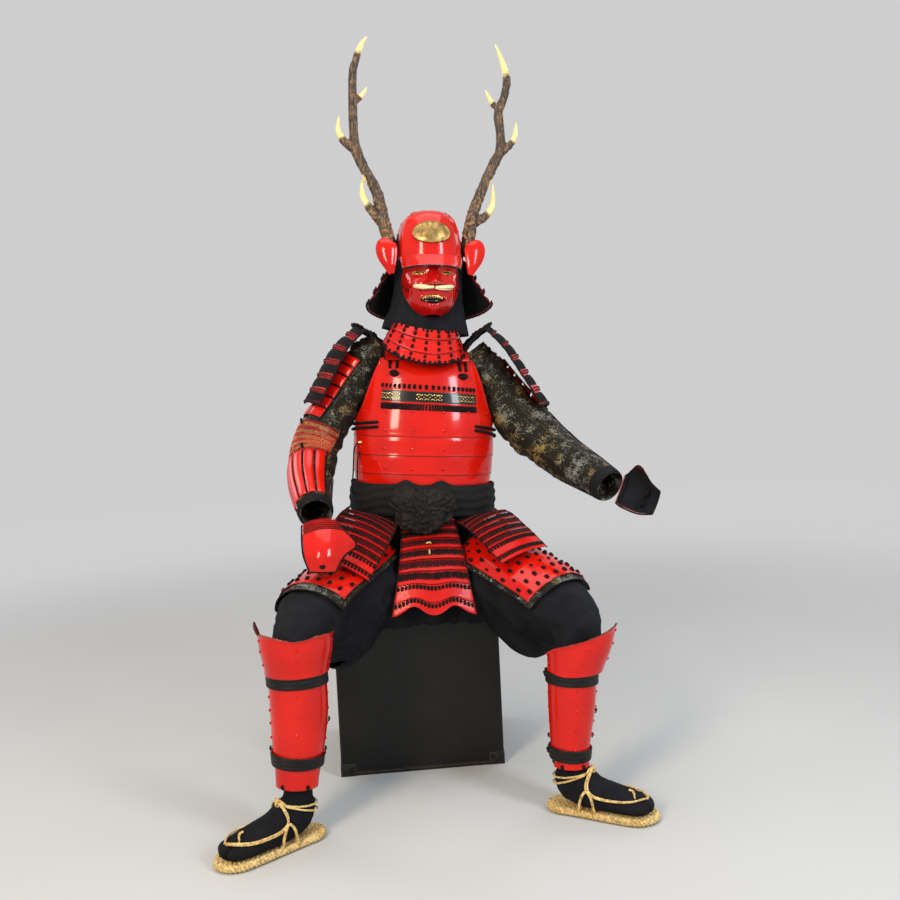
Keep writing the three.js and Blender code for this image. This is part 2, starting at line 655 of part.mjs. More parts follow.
// The hand guards, from the wrist to the knuckles.
const HAND_GUARD = {
  right: [
    { x: -230, y: -398, z: 708, turn: 0, tip: 0, half: 40, crown: 12 },
    { x: -224, y: -428, z: 672, turn: 0, tip: 0, half: 46, crown: 16 },
    { x: -222, y: -448, z: 634, turn: 0, tip: 0, half: 44, crown: 18 },
    { x: -224, y: -456, z: 598, turn: 0, tip: 0, half: 30, crown: 14 },
  ],
  left: [
    { x: 519, y: -356, z: 740, turn: -30, tip: -40, half: 36, crown: 10 },
    { x: 536, y: -364, z: 733, turn: -30, tip: -40, half: 42, crown: 14 },
    { x: 568, y: -382, z: 718, turn: -30, tip: -40, half: 42, crown: 16 },
    { x: 596, y: -398, z: 706, turn: -30, tip: -40, half: 30, crown: 12 },
  ],
};
// The lobe over the thumb, on each guard's thumb side.
const thumb = (t) => 0.75 * bump(t, 0.42, 0.2);
const HAND_SIDES = {
  right: { left: () => -1, right: (t) => 1 + thumb(t) },
  left: { left: (t) => -1 - thumb(t), right: () => 1 },
};

function sleeves() {
  for (const { name } of SIDES) {
    const seam = ELBOW_SEAM[name];
    const half = GAP / 2 / 600; // the sleeves are about 600 mm long
    const size = { columns: 10, wall: CLOTH };
    const upper = sleeveOf(sleeveSurface[name], { t1: seam - half, rows: 6, ...size });
    const fore = sleeveOf(sleeveSurface[name], { t0: seam + half, rows: 5, ...size });
    add(`sleeve_upper_${name}`, upper, brocade);
    add(`sleeve_fore_${name}`, fore, brocade);
    const guard = plateOf(strip(HAND_GUARD[name]), { rows: 6, columns: 5, wall: 3, ...HAND_SIDES[name] });
    add(`hand_guard_${name}`, guard, redLacquer);
  }
  for (const [name, { t0, t1, left, right, side }] of Object.entries(ARM_PLATES)) {
    const span = { left: () => left, right: () => right };
    const size = { t0, t1, rows: 5, columns: 5, wall: PLATE, out: PLATE + GAP + 3.2 };
    add(name, plateOf(sleeveSurface[side], { ...size, ...span }), redLacquer);
  }
}

// The shoulder guards, from the top down. Their width runs from front to back.
const SHOULDER_GUARD = {
  right: [
    { x: -104, y: -78, z: 1186, turn: -74, tip: 0, half: 82, crown: 10 },
    { x: -164, y: -82, z: 1130, turn: -74, tip: 0, half: 86, crown: 14 },
    { x: -206, y: -88, z: 1058, turn: -74, tip: 0, half: 88, crown: 14 },
    { x: -244, y: -96, z: 990, turn: -74, tip: 0, half: 88, crown: 14 },
  ],
  left: [
    { x: 234, y: -78, z: 1172, turn: 78, tip: 0, half: 82, crown: 10 },
    { x: 284, y: -84, z: 1120, turn: 78, tip: 0, half: 86, crown: 14 },
    { x: 332, y: -94, z: 1040, turn: 78, tip: 0, half: 88, crown: 14 },
    { x: 382, y: -110, z: 952, turn: 78, tip: 0, half: 88, crown: 14 },
  ],
};

function shoulderGuards() {
  for (const { name } of SIDES) {
    const surface = strip(SHOULDER_GUARD[name]);
    add(`shoulder_guard_${name}`, plateOf(surface, { rows: 6, columns: 4, wall: 4, ...sides }), laced);
  }
}

// ---------------------------------------------------------------- shins and feet

const SHIN = {
  right: [
    { x: -291, y: -527, z: 389, side: 64, front: 54, back: 54 },
    { x: -291, y: -525, z: 300, side: 64, front: 54, back: 54 },
    { x: -299, y: -523, z: 200, side: 56, front: 49, back: 49 },
    { x: -304, y: -524, z: 130, side: 47, front: 44, back: 44 },
  ],
  left: [
    { x: 347, y: -496, z: 336, side: 57, front: 52, back: 52 },
    { x: 343, y: -497, z: 256, side: 55, front: 51, back: 51 },
    { x: 336, y: -498, z: 170, side: 47, front: 46, back: 46 },
    { x: 333, y: -499, z: 112, side: 42, front: 44, back: 42 },
  ],
};
const KNEE = {
  right: [
    { x: -287, y: -548, z: 496, side: 82, front: 66, back: 60 },
    { x: -288, y: -542, z: 448, side: 80, front: 64, back: 60 },
    { x: -291, y: -530, z: 380, side: 67, front: 58, back: 58 },
  ],
  left: [
    { x: 372, y: -500, z: 456, side: 84, front: 66, back: 60 },
    { x: 364, y: -500, z: 400, side: 78, front: 64, back: 60 },
    { x: 347, y: -498, z: 328, side: 61, front: 57, back: 57 },
  ],
};
// How far down the top edge of each knee guard is cut, from its left edge to its right, as a share.
const KNEE_TOP = {
  right: (u) => 0.14 * bump(u, 0.05, 0.35) + 0.16 * bump(u, 1, 0.4) + 0.1 * bump(u, -1, 0.3),
  left: (u) => clamp(0.72 - 0.62 * (u + 1) * 0.62, 0.03, 0.75),
};
const BANDS = { right: [378, 191], left: [322, 142] }; // heights of the straps' middles
const BAND_WIDTH = 20;

function shins() {
  for (const { name } of SIDES) {
    const shin = tube(SHIN[name]);
    const span = { left: () => -104, right: () => 104 };
    add(`shin_guard_${name}`, plateOf(shin, { rows: 6, columns: 8, wall: PLATE, ...span }), redLacquer);
    const knee = tube(KNEE[name]);
    const reach = 84;
    const hem = BANDS[name][0] + BAND_WIDTH / 2 + 2;
    const low = (angle) => heightOn((t) => knee(angle, t), hem);
    const cap = (angle, t, out) => knee(angle, mix(KNEE_TOP[name](angle / reach), low(angle), t), out);
    const kneeSpan = { left: () => -reach, right: () => reach };
    add(`knee_guard_${name}`, plateOf(cap, { rows: 4, columns: 10, wall: PLATE, ...kneeSpan }), redLacquer);
    BANDS[name].forEach((middle, k) => {
      const at = (z) => placeOf(SHIN[name], "z", z);
      const size = { rows: 1, columns: 16, wall: CLOTH, out: CLOTH + GAP + 1 };
      const ends = { t0: at(middle + BAND_WIDTH / 2), t1: at(middle - BAND_WIDTH / 2) };
      add(`shin_strap_${name}_${k + 1}`, sleeveOf(shin, { ...ends, ...size }), blackCloth);
    });
  }
}

// A foot in its own frame: the heel is at the origin and the toes point to -Y.
const FEET = {
  right: { x: -256, y: -498, turn: -57 },
  left: { x: 284, y: -470, turn: 60 },
};
const SOCK = [
  { x: 0, y: -58, z: 150, side: 33, front: 33, back: 33 },
  { x: 0, y: -58, z: 108, side: 33, front: 33, back: 33 },
  { x: 0, y: -68, z: 74, side: 36, front: 50, back: 50 },
  { x: 0, y: -112, z: 48, side: 40, front: 42, back: 36 },
  { x: 0, y: -170, z: 40, side: 46, front: 30, back: 26 },
  { x: 0, y: -215, z: 36, side: 45, front: 20, back: 20 },
  { x: 0, y: -240, z: 34, side: 34, front: 14, back: 14 },
  { x: 0, y: -252, z: 33, side: 8, front: 5, back: 5 },
];

function feet() {
  for (const { name } of SIDES) {
    const foot = new THREE.Group();
    foot.position.set(FEET[name].x, FEET[name].y, 0);
    foot.rotation.z = rad(FEET[name].turn);
    armour.add(foot);
    const surface = tube(SOCK);
    const onSole = (angle, t, out = 0) => {
      const point = surface(angle, t, out);
      point.z = Math.max(point.z, SOLE.thick + GAP - out);
      return point;
    };
    const angles = spread(0, 360, 10).slice(0, -1);
    const skin = (out) => gridOf(spread(0, 1, 9), angles, (u, t) => onSole(u, t, out));
    add(`sock_${name}`, between(skin(0), skin(-CLOTH), { round: true }), blackCloth, foot);
    add(`sandal_${name}`, sandal(), straw, foot);
    add(`sandal_cord_${name}`, sandalCord(onSole), straw, foot);
  }
}

// The straw cord over the foot, from the ankle through the side loop to the toe: round the sock in degrees,
// and along it.
const LACE = [
  { angle: -40, t: 0.235 },
  { angle: 0, t: 0.33 },
  { angle: 70, t: 0.4 },
  { angle: 60, t: 0.62 },
  { angle: 4, t: 0.84 },
];

function sandalCord(onSole) {
  const r = CORD * 0.7;
  const lace = (sign) => {
    const points = spread(0, 1, 12).map((s) => {
      const { angle, t } = rowAt(LACE, s);
      const { x, y, z } = onSole(sign * angle, t, r + 2.6);
      return { x, y, z, r };
    });
    return rope(points, { steps: 12, sides: 5 });
  };
  const low = SOLE.thick + GAP + CORD;
  const loop = (sign) => {
    const point = (x, y, z) => ({ x: sign * x, y, z, r: CORD });
    const points = [
      point(42, -86, low),
      point(44, -92, 48),
      point(43, -106, 67),
      point(44, -118, 48),
      point(42, -124, low),
    ];
    return rope(points, { steps: 8, sides: 5 });
  };
  const ankle = sleeveOf(onSole, { t0: 0.2, t1: 0.25, rows: 1, columns: 12, wall: 2 * r, out: 2 * r + 2.6 });
  return joined(ankle, lace(-1), lace(1), loop(-1), loop(1));
}

function sandal() {
  const { length, width, thick } = SOLE;
  const heel = width * 0.4;
  const ball = width / 2;
  const outline = new THREE.Shape();
  outline.absarc(0, -heel, heel, 0, Math.PI, false);
  outline.absarc(0, -length + ball, ball, Math.PI, 2 * Math.PI, false);
  return new THREE.ExtrudeGeometry(outline, { depth: thick, bevelEnabled: false, curveSegments: 8 });
}

// ---------------------------------------------------------------- helmet, mask and hood, in the head's frame

const BOWL = [
  { x: 0, y: 0, z: 135, side: 2, front: 2, back: 2 },
  { x: 0, y: 0, z: 130, side: 40, front: 46, back: 46 },
  { x: 0, y: 0, z: 115, side: 61, front: 74, back: 76 },
  { x: 0, y: 0, z: 92, side: 75, front: 91, back: 94 },
  { x: 0, y: 0, z: 61, side: 83, front: 102, back: 106 },
  { x: 0, y: 0, z: 28, side: 86, front: 107, back: 112 },
  { x: 0, y: 0, z: 0, side: 87, front: 109, back: 114 },
];
const VISOR = [
  { x: 0, y: 0, z: 6, side: 92, front: 113, back: 100 },
  { x: 0, y: 0, z: -8, side: 92, front: 124, back: 100 },
  { x: 0, y: 0, z: -27, side: 87, front: 139, back: 100 },
];
const NECK = [
  { x: 0, y: 6, z: 3, side: 94, front: 110, back: 116 },
  { x: 0, y: -4, z: -48, side: 122, front: 120, back: 138 },
  { x: 0, y: -18, z: -118, side: 163, front: 140, back: 172 },
];
const NECK_LAMES = 4;
const HOOD = [
  { x: 0, y: 8, z: 120, side: 2, front: 2, back: 2 },
  { x: 0, y: 8, z: 108, side: 50, front: 58, back: 58 },
  { x: 0, y: 7, z: 60, side: 74, front: 88, back: 90 },
  { x: 0, y: 5, z: 0, side: 79, front: 88, back: 92 },
  { x: 0, y: 4, z: -60, side: 80, front: 76, back: 94 },
  { x: -3, y: 4, z: -130, side: 92, front: 62, back: 98 },
  { x: -8, y: 4, z: -188, side: 104, front: 72, back: 104 },
];
const MASK = [
  { x: 0, y: -20, z: -18, side: 74, front: 90, back: 60, reach: 80 },
  { x: 0, y: -20, z: -48, side: 76, front: 94, back: 60, reach: 82 },
  { x: 0, y: -20, z: -78, side: 75, front: 97, back: 60, reach: 80 },
  { x: 0, y: -23, z: -108, side: 68, front: 93, back: 60, reach: 74 },
  { x: 0, y: -27, z: -134, side: 54, front: 82, back: 60, reach: 68 },
  { x: 0, y: -29, z: -155, side: 26, front: 66, back: 60, reach: 60 },
];
const NOSE = { z: -72, out: 26, reach: 12 };

function nose(angle, t) {
  const { z } = rowAt(MASK, t);
  const ridge = clamp((-z - 24) / (-NOSE.z - 24), 0, 1);
  const under = clamp((z - NOSE.z + 14) / 14, 0, 1);
  return NOSE.out * Math.min(ridge, under) * bump(angle, 0, NOSE.reach);
}
const mask = tube(MASK, { relief: nose });

function prism(x, z, halfWide, halfHigh, y0, y1) {
  const outline = new THREE.Shape().absellipse(0, 0, halfWide, halfHigh, 0, 2 * Math.PI);
  const body = new THREE.ExtrudeGeometry(outline, { depth: y1 - y0, bevelEnabled: false, curveSegments: 3 });
  return body.rotateX(Math.PI / 2).translate(x, y1, z);
}

function helmet() {
  const bowl = tube(BOWL, { power: 2.2 });
  add("helmet_bowl", domeOf(bowl, { rows: 8, columns: 18, wall: PLATE }), redLacquer, head);
  const brim = { left: () => -62, right: () => 62 };
  add("helmet_visor", plateOf(tube(VISOR, { power: 2.2 }), { rows: 3, columns: 10, wall: PLATE, ...brim }), redLacquer, head);
  const rows = spread(0, 1, NECK_LAMES).slice(0, -1).flatMap((t, k) => [
    { t: k ? t + 0.03 : 0, rise: 0 },
    { t: t + 1 / NECK_LAMES, rise: 5 },
  ]);
  const span = { left: () => 80, right: () => 280 };
  add("neck_guard", plateOf(tube(NECK), { rows, columns: 14, wall: PLATE, ...span }), laced, head);
  crest(bowl);
}

// A plain oval brass plate on the front of the bowl.
function crest(bowl) {
  const at = (z) => placeOf(BOWL, "z", z);
  const [low, high] = [at(34), at(94)];
  const half = (t) => 33 * Math.sqrt(Math.max(0.06, 1 - ((t - (low + high) / 2) / ((low - high) / 2 + 1e-3)) ** 2));
  const size = { t0: high, t1: low, rows: 6, columns: 6, wall: 2.5, out: 2.5 + 4 * GAP };
  add("helmet_crest", plateOf(bowl, { ...size, left: (t) => -3 - half(t), right: (t) => half(t) - 3 }), brass, head);
}

// The turned-back flap beside the visor on the wearer's right. The left one is its mirror.
const FLAP = [
  { x: -114, y: -50, z: 51, turn: -8, tip: 0, half: 9, crown: 0 },
  { x: -117, y: -52, z: 43, turn: -8, tip: 0, half: 22, crown: 2 },
  { x: -118, y: -54, z: 27, turn: -8, tip: 0, half: 27, crown: 4 },
  { x: -115, y: -56, z: 5, turn: -8, tip: 0, half: 24, crown: 4 },
  { x: -110, y: -58, z: -18, turn: -8, tip: 0, half: 15, crown: 3 },
  { x: -105, y: -58, z: -40, turn: -8, tip: 0, half: 5, crown: 0 },
];

function flaps() {
  for (const { name, sign } of SIDES) {
    const surface = strip(sign < 0 ? FLAP : mirrored(FLAP));
    add(`helmet_flap_${name}`, plateOf(surface, { rows: 8, columns: 3, wall: PLATE, ...sides }), redLacquer, head);
  }
}

// Each antler is a beam with three tines. r is the radius.
const ANTLER = {
  right: {
    beam: [
      { x: -104, y: -8, z: 14, r: 13 },
      { x: -108, y: -12, z: 55, r: 16 },
      { x: -121, y: -12, z: 100, r: 15 },
      { x: -138, y: -5, z: 181, r: 13 },
      { x: -167, y: 1, z: 236, r: 12 },
      { x: -190, y: 7, z: 290, r: 12 },
      { x: -198, y: 11, z: 338, r: 10 },
      { x: -199, y: 17, z: 405, r: 10 },
      { x: -199, y: 24, z: 496, r: 9 },
      { x: -188, y: 27, z: 543, r: 8 },
      { x: -174, y: 30, z: 580, r: 6 },
      { x: -158, y: 31, z: 602, r: 1.5 },
    ],
    brow: [
      { x: -120, y: -12, z: 92, r: 11 },
      { x: -155, y: -8, z: 134, r: 9 },
      { x: -175, y: -3, z: 172, r: 7 },
      { x: -178, y: 0, z: 215, r: 1.5 },
    ],
    second: [
      { x: -190, y: 7, z: 290, r: 10 },
      { x: -222, y: 11, z: 316, r: 9 },
      { x: -238, y: 14, z: 346, r: 6 },
      { x: -236, y: 17, z: 385, r: 1.5 },
    ],
    third: [
      { x: -198, y: 18, z: 425, r: 8 },
      { x: -178, y: 18, z: 438, r: 6 },
      { x: -161, y: 20, z: 465, r: 1.5 },
    ],
  },
  left: {
    beam: [
      { x: 104, y: -12, z: 14, r: 13 },
      { x: 106, y: -20, z: 58, r: 16 },
      { x: 113, y: -24, z: 106, r: 15 },
      { x: 122, y: -22, z: 140, r: 13 },
      { x: 146, y: -18, z: 199, r: 12 },
      { x: 178, y: -15, z: 267, r: 12 },
      { x: 195, y: -13, z: 300, r: 11 },
      { x: 196, y: -9, z: 350, r: 10 },
      { x: 192, y: -4, z: 404, r: 10 },
      { x: 208, y: -2, z: 448, r: 9 },
      { x: 216, y: 2, z: 497, r: 9 },
      { x: 204, y: 6, z: 546, r: 6 },
      { x: 186, y: 11, z: 592, r: 1.5 },
    ],
    brow: [
      { x: 113, y: -24, z: 100, r: 11 },
      { x: 148, y: -25, z: 120, r: 9 },
      { x: 170, y: -24, z: 150, r: 7 },
      { x: 174, y: -19, z: 210, r: 1.5 },
    ],
    second: [
      { x: 190, y: -13, z: 290, r: 10 },
      { x: 221, y: -13, z: 316, r: 8 },
      { x: 236, y: -12, z: 343, r: 6 },
      { x: 240, y: -9, z: 380, r: 1.5 },
    ],
    third: [
      { x: 194, y: -3, z: 415, r: 8 },
      { x: 174, y: -1, z: 432, r: 6 },
      { x: 157, y: 2, z: 466, r: 1.5 },
    ],
  },
};

function antlers() {
  for (const { name } of SIDES) {
    const { beam, ...tines } = ANTLER[name];
    const parts = [rope(beam, { steps: 17 })];
    for (const tine of Object.values(tines)) parts.push(rope(tine, { steps: 4 }));
    add(`antler_${name}`, joined(...parts), antler, head);
  }
}

function face() {
  const opening = prism(0, -80, 64, 76, -200, -10);
  const cloth = domeOf(tube(HOOD), { rows: 8, columns: 12, wall: CLOTH });
  add("hood", cut(cloth, opening), blackCloth, head);

  const reach = (t) => rowAt(MASK, t).reach;
  const plate = plateOf(mask, { rows: 10, columns: 14, wall: PLATE, left: (t) => -reach(t), right: reach });
  const eye = (x) => prism(x, -41, 14, 3.5, -200, -40);
  const mouth = prism(-4, -108, 36, 9, -200, -40);
  add("mask", cut(plate, eye(-38), eye(38), mouth), redLacquer, head);

  const lip = placeOf(MASK, "z", -95);
  const thick = (angle) => 0.022 + 0.016 * bump(Math.abs(angle), 28, 13);
  const rise = (angle) => 0.035 * clamp(Math.abs(angle) / 30, 0, 1);
  const hair = (angle, t, out) => mask(angle, lip - rise(angle) + t * thick(angle), out);
  const size = { t0: -1, t1: 1, rows: 2, columns: 12, wall: 8, out: 12.5 };
  add("moustache", plateOf(hair, { ...size, left: () => -42, right: () => 38 }), ivory, head);
}

chest();
trousers();
cuirassPlates();
throatGuard();
sash();
sideCord();
skirt();
thighGuards();
sleeves();
shoulderGuards();
shins();
feet();
helmet();
flaps();
antlers();
face();

export default armour;
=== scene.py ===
"""The looks of a suit of samurai armour that sits on its own storage chest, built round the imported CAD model.

The tables hold millimetres in the part's frame: +Z is up, the suit faces -Y and the wearer's left is +X.
Angles are in degrees: 0 is the front of a tube (the top of a thigh), 90 the wearer's left."""

import math

import bpy
import numpy as np
from mathutils import Matrix, Vector, noise


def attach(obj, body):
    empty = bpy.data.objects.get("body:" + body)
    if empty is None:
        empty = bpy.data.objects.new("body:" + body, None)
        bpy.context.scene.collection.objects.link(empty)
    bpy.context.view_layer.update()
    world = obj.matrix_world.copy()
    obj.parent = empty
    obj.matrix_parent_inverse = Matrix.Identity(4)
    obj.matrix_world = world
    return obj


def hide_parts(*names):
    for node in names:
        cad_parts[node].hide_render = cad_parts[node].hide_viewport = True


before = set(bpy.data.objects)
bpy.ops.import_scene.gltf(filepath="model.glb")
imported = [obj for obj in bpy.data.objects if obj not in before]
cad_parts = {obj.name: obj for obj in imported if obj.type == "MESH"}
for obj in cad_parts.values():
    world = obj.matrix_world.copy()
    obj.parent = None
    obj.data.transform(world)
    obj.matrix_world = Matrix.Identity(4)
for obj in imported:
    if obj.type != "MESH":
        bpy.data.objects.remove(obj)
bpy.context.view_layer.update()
MM = 0.001

spaced, joined = np.linspace, np.concatenate

# ---- tables and surfaces


def table(columns, *rows):
    """{column: its values down the table}."""
    return dict(zip(columns.split(), np.array(rows, float).T))


def rings(*rows):
    """A tube's sections: their middles and half sizes to the side, the front and the back."""
    return table("x y z side front back", *rows)


def bands(*rows):
    """A bent strip's sections, as strip() reads them."""
    return table("x y z turn tip half crown", *rows)


def branch(*rows):
    return table("x y z r", *rows)


def row_at(tab, t):
    """The table's row at places t from 0 to 1, on a smooth curve through its rows."""
    last = len(next(iter(tab.values()))) - 1
    s = np.clip(t, 0, 1) * last
    i = np.minimum(np.floor(s), last - 1).astype(int)
    f = s - i
    row = {}
    for name, column in tab.items():
        a, b, c, d = (column[np.clip(i + k, 0, last)] for k in (-1, 0, 1, 2))
        row[name] = b + 0.5 * f * (c - a + f * (2 * a - 5 * b + 4 * c - d + f * (3 * (b - c) + d - a)))
    return row


def unit(v):
    return v / np.maximum(np.linalg.norm(v, axis=-1, keepdims=True), 1e-12)


def centre_at(tab, t):
    row = row_at(tab, t)
    return np.stack([row["x"], row["y"], row["z"]], -1)


def along_at(tab, t):
    return unit(centre_at(tab, t + 0.02) - centre_at(tab, t - 0.02))


def bump(x, centre, reach):
    return np.exp(-(((x - centre) / reach) ** 2))


def smooth(x, low, high):
    f = np.clip((x - low) / (high - low), 0, 1)
    return f * f * (3 - 2 * f)


def tube(tab, side=(1, 0, 0), power=2, relief=None):
    """A tube's surface(angle, t, out): its table runs along the path, with the half sizes side, front and back."""
    side = np.array(side, float)

    def surface(angle, t, out=0):
        angle, t, out = (np.asarray(q, float) for q in np.broadcast_arrays(angle, t, out))
        row, along = row_at(tab, t), along_at(tab, t)
        left = unit(side - along * (along @ side)[..., None])
        front = np.cross(along, left)
        s, c = np.sin(np.radians(angle)), np.cos(np.radians(angle))
        more = out + (relief(angle, t) if relief else 0)
        wide = (row["side"] + more) * np.sign(s) * np.abs(s) ** (2 / power)
        deep = (np.where(c > 0, row["front"], row["back"]) + more) * np.sign(c) * np.abs(c) ** (2 / power)
        middle = np.stack([row["x"], row["y"], row["z"]], -1)
        return middle + left * wide[..., None] + front * deep[..., None]

    return surface


def strip(tab):
    """A bent strip's surface(u, t, out), u from -1 to 1 across. turn is the heading of its width, tip how far
    its left edge is raised, half its half width and crown how far its middle stands out."""

    def surface(u, t, out=0):
        u, t, out = (np.asarray(q, float) for q in np.broadcast_arrays(u, t, out))
        row, along = row_at(tab, t), along_at(tab, t)
        turn, tip = np.radians(row["turn"]), np.radians(row["tip"])
        across = np.stack([np.cos(tip) * np.cos(turn), np.cos(tip) * np.sin(turn), np.sin(tip)], -1)
        across = unit(across - along * (along * across).sum(-1, keepdims=True))
        face = np.cross(along, across)
        middle = np.stack([row["x"], row["y"], row["z"]], -1)
        return middle + across * (row["half"] * u)[..., None] + face * (row["crown"] * (1 - u * u)
            + out)[..., None]

    return surface


def mirrored(tab):
    return {name: -column if name in ("x", "turn", "tip") else column for name, column in tab.items()}


def part_of(surface, left, right, t0=0, t1=1):
    """The part of a surface between left and right, numbers or functions of t, as surface(0 to 1, 0 to 1, out)."""
    edge = lambda e, t: e(t) if callable(e) else e + 0 * t

    def part(u, t, out=0):
        t = t0 + (t1 - t0) * np.asarray(t, float)
        a, b = edge(left, t), edge(right, t)
        return surface(a + (b - a) * u, t, out)

    return part


def place_of(tab, column, value):
    """The place t at which a falling column has a value."""
    t = spaced(0, 1, 801)
    return float(np.interp(-value, -row_at(tab, t)[column], t))


# ---- frames of the torso, the head and the feet


def frame_of(x, y, z, lean=0, turn=0):
    return np.array(Matrix.Translation((x, y, z)) @ Matrix.Rotation(math.radians(turn), 4, "Z")
        @ Matrix.Rotation(math.radians(lean), 4, "Y"))


WORLD = np.eye(4)
TORSO = frame_of(38, -85, 696, lean=4)
HEAD = frame_of(88, -88, 1356, lean=2.6, turn=3)
FOOT = {"right": frame_of(-256, -498, 0, turn=-57), "left": frame_of(284, -470, 0, turn=60)}
SIDES = {"right": -1, "left": 1}


def placed(points, place):
    return np.asarray(points) @ place[:3, :3].T + place[:3, 3]


# ---- faces from grids of points


class Form:
    """The faces of one piece, gathered in millimetres."""

    def __init__(self, place=WORLD):
        self.place, self.points, self.faces, self.uv, self.rim, self.count = place, [], [], [], [], 0

    def add(self, points, faces, uv=None, rim=None, flip=False):
        points = placed(np.asarray(points, float).reshape(-1, 3), self.place)
        self.points.append(points)
        self.faces.append(np.asarray(faces)[:, ::-1] + self.count if flip else np.asarray(faces) + self.count)
        self.uv.append(np.zeros((len(points), 2)) if uv is None else np.reshape(uv, (-1, 2)))
        self.rim.append(np.zeros(len(points)) if rim is None else np.ravel(rim))
        self.count += len(points)
        return self

    def closed(self, points, faces, uv=None, rim=None):
        """A closed shell, turned to face outwards."""
        points, faces = np.asarray(points, float).reshape(-1, 3), np.asarray(faces)
        a, b, c, d = (points[faces[:, k]] for k in range(4))
        volume = (a * np.cross(b, c)).sum() + (a * np.cross(c, d)).sum()
        return self.add(points, faces, uv, rim, flip=volume < 0)

    def wall(self, surface, across, along, thick, out=0, wrap=False):
        """A wall over surface(u, t, out) with round edges. across and along are (from, to, steps) or lists of
        places; out is a number or a function of u and t."""
        u, t = (spaced(*q[:2], int(q[2]) + 1) if isinstance(q, tuple) else np.array(q, float)
            for q in (across, along))
        far = out if callable(out) else (lambda a, b: out)
        middle = lambda a, b: surface(*np.broadcast_arrays(a, b), far(a, b) - thick / 2)
        long_u = np.linalg.norm(np.diff(middle(u, t[len(t) // 2]), axis=0), axis=1).sum()
        long_t = np.linalg.norm(np.diff(middle(u[len(u) // 2], t), axis=0), axis=1).sum()
        if wrap:
            u, round_u = u[:-1], np.ones(len(u) - 1)
        else:
            u, round_u = rounded(u, long_u, thick)
        t, round_t = rounded(t, long_t, thick)
        U, T = np.meshgrid(u, t)
        share = np.minimum(*np.meshgrid(round_u, round_t))
        base = far(U, T) - thick / 2
        outer, inner = surface(U, T, base + thick / 2 * share), surface(U, T, base - thick / 2 * share)
        rows, cols = U.shape
        skin = grid_faces(rows, cols, wrap)
        n = rows * cols
        faces = [skin, skin[:, ::-1] + n]
        middle_rows = np.arange(1, rows - 1) * cols
        loops = [np.arange(cols), (rows - 1) * cols + np.arange(cols)[::-1]]
        if not wrap:
            loops = [joined([loops[0], middle_rows + cols - 1, loops[1], middle_rows[::-1]])]
        for loop in loops:
            faces.append(np.stack([loop, loop + n, np.roll(loop, -1) + n, np.roll(loop, -1)], -1))
        span = lambda q, whole: (q - q[0]) / (q[-1] - q[0]) * whole * MM
        uv = np.stack(np.meshgrid(span(u, long_u), span(t, long_t)), -1)
        away = np.minimum(*np.meshgrid(np.full(len(u), 1e9) if wrap else to_ends(u, long_u),
            to_ends(t, long_t)))
        rim = np.clip(1 - away / 5, 0, 1)
        both = joined([outer.reshape(-1, 3), inner.reshape(-1, 3)])
        return self.closed(both, joined(faces), np.tile(uv.reshape(-1, 2), (2, 1)), np.tile(rim.ravel(), 2))

    def capped(self, ring, ends, uv=None):
        """A closed body from a grid of rings, with a fan to a point at each end."""
        rows, sides = ring.shape[:2]
        n, k = rows * sides, np.arange(sides)
        far = n - sides + k
        first = np.stack([np.roll(k, -1), k, n + 0 * k, n + 0 * k], -1)
        last = np.stack([far, np.roll(far, -1), n + 1 + 0 * k, n + 1 + 0 * k], -1)
        faces = joined([grid_faces(rows, sides, True), first, last])
        return self.closed(joined([ring.reshape(-1, 3), ends]), faces, uv)

    def rod(self, path, radius, sides=8, twist=0, lobes=0, depth=0, flat=1, closed=False):
        """A round rod along points, or one twisted from lobes strands. radius is a number or one for each point."""
        path = np.asarray(path, float)
        radius = np.broadcast_to(radius, len(path))
        along = unit(np.roll(path, -1, 0) - np.roll(path, 1, 0)) if closed else unit(np.gradient(path,
            axis=0))
        left = across_path(along)
        up = np.cross(along, left)
        gone = joined([[0], np.cumsum(np.linalg.norm(np.diff(path, axis=0), axis=1))])
        angle = spaced(0, 2 * np.pi, sides, endpoint=False)[None, :]
        turned = (gone / twist * 2 * np.pi if twist else 0 * gone)[:, None]
        r = radius[:, None] * (1 - depth * (0.5 - 0.5 * np.cos(lobes * (angle - turned))) if lobes else 1)
        ring = path[:, None] + left[:, None] * (r * np.cos(angle))[..., None] + up[:, None] * (r * flat
            * np.sin(angle))[..., None]
        uv = np.stack(np.broadcast_arrays(angle / (2 * np.pi) * radius.mean() * 6.28 * MM,
            gone[:, None] * MM), -1)
        if closed:
            return self.closed(ring, grid_faces(len(path) + 1, sides, True) % (len(path) * sides), uv)
        ends = np.stack([path[0] - along[0] * radius[0] * 0.4, path[-1] + along[-1] * radius[-1] * 0.4])
        return self.capped(ring, ends, joined([uv.reshape(-1, 2), [[0, 0], [0, gone[-1] * MM]]]))

    def piece(self, name, finish, replaces=(), slot=None, crisp=None):
        """The piece, on the part's one body."""
        points, faces = joined(self.points) * MM, joined(self.faces)
        mesh = bpy.data.meshes.new(name)
        rings = [tuple(dict.fromkeys(f)) for f in faces.tolist()]
        mesh.from_pydata(points.tolist(), [], [f for f in rings if len(f) > 2])
        corner = np.zeros(len(mesh.loops), int)
        mesh.loops.foreach_get("vertex_index", corner)
        mesh.uv_layers.new(name="lay").data.foreach_set("uv", joined(self.uv)[corner].ravel())
        mesh.attributes.new("rim", "FLOAT", "POINT").data.foreach_set("value", joined(self.rim))
        return show(name, mesh, finish, replaces, slot, crisp)


def in_scene(name, data):
    obj = bpy.data.objects.new(name, data)
    bpy.context.scene.collection.objects.link(obj)
    return obj


def as_mesh(obj):
    """The mesh that an object's modifiers make."""
    return bpy.data.meshes.new_from_object(obj.evaluated_get(bpy.context.evaluated_depsgraph_get()))


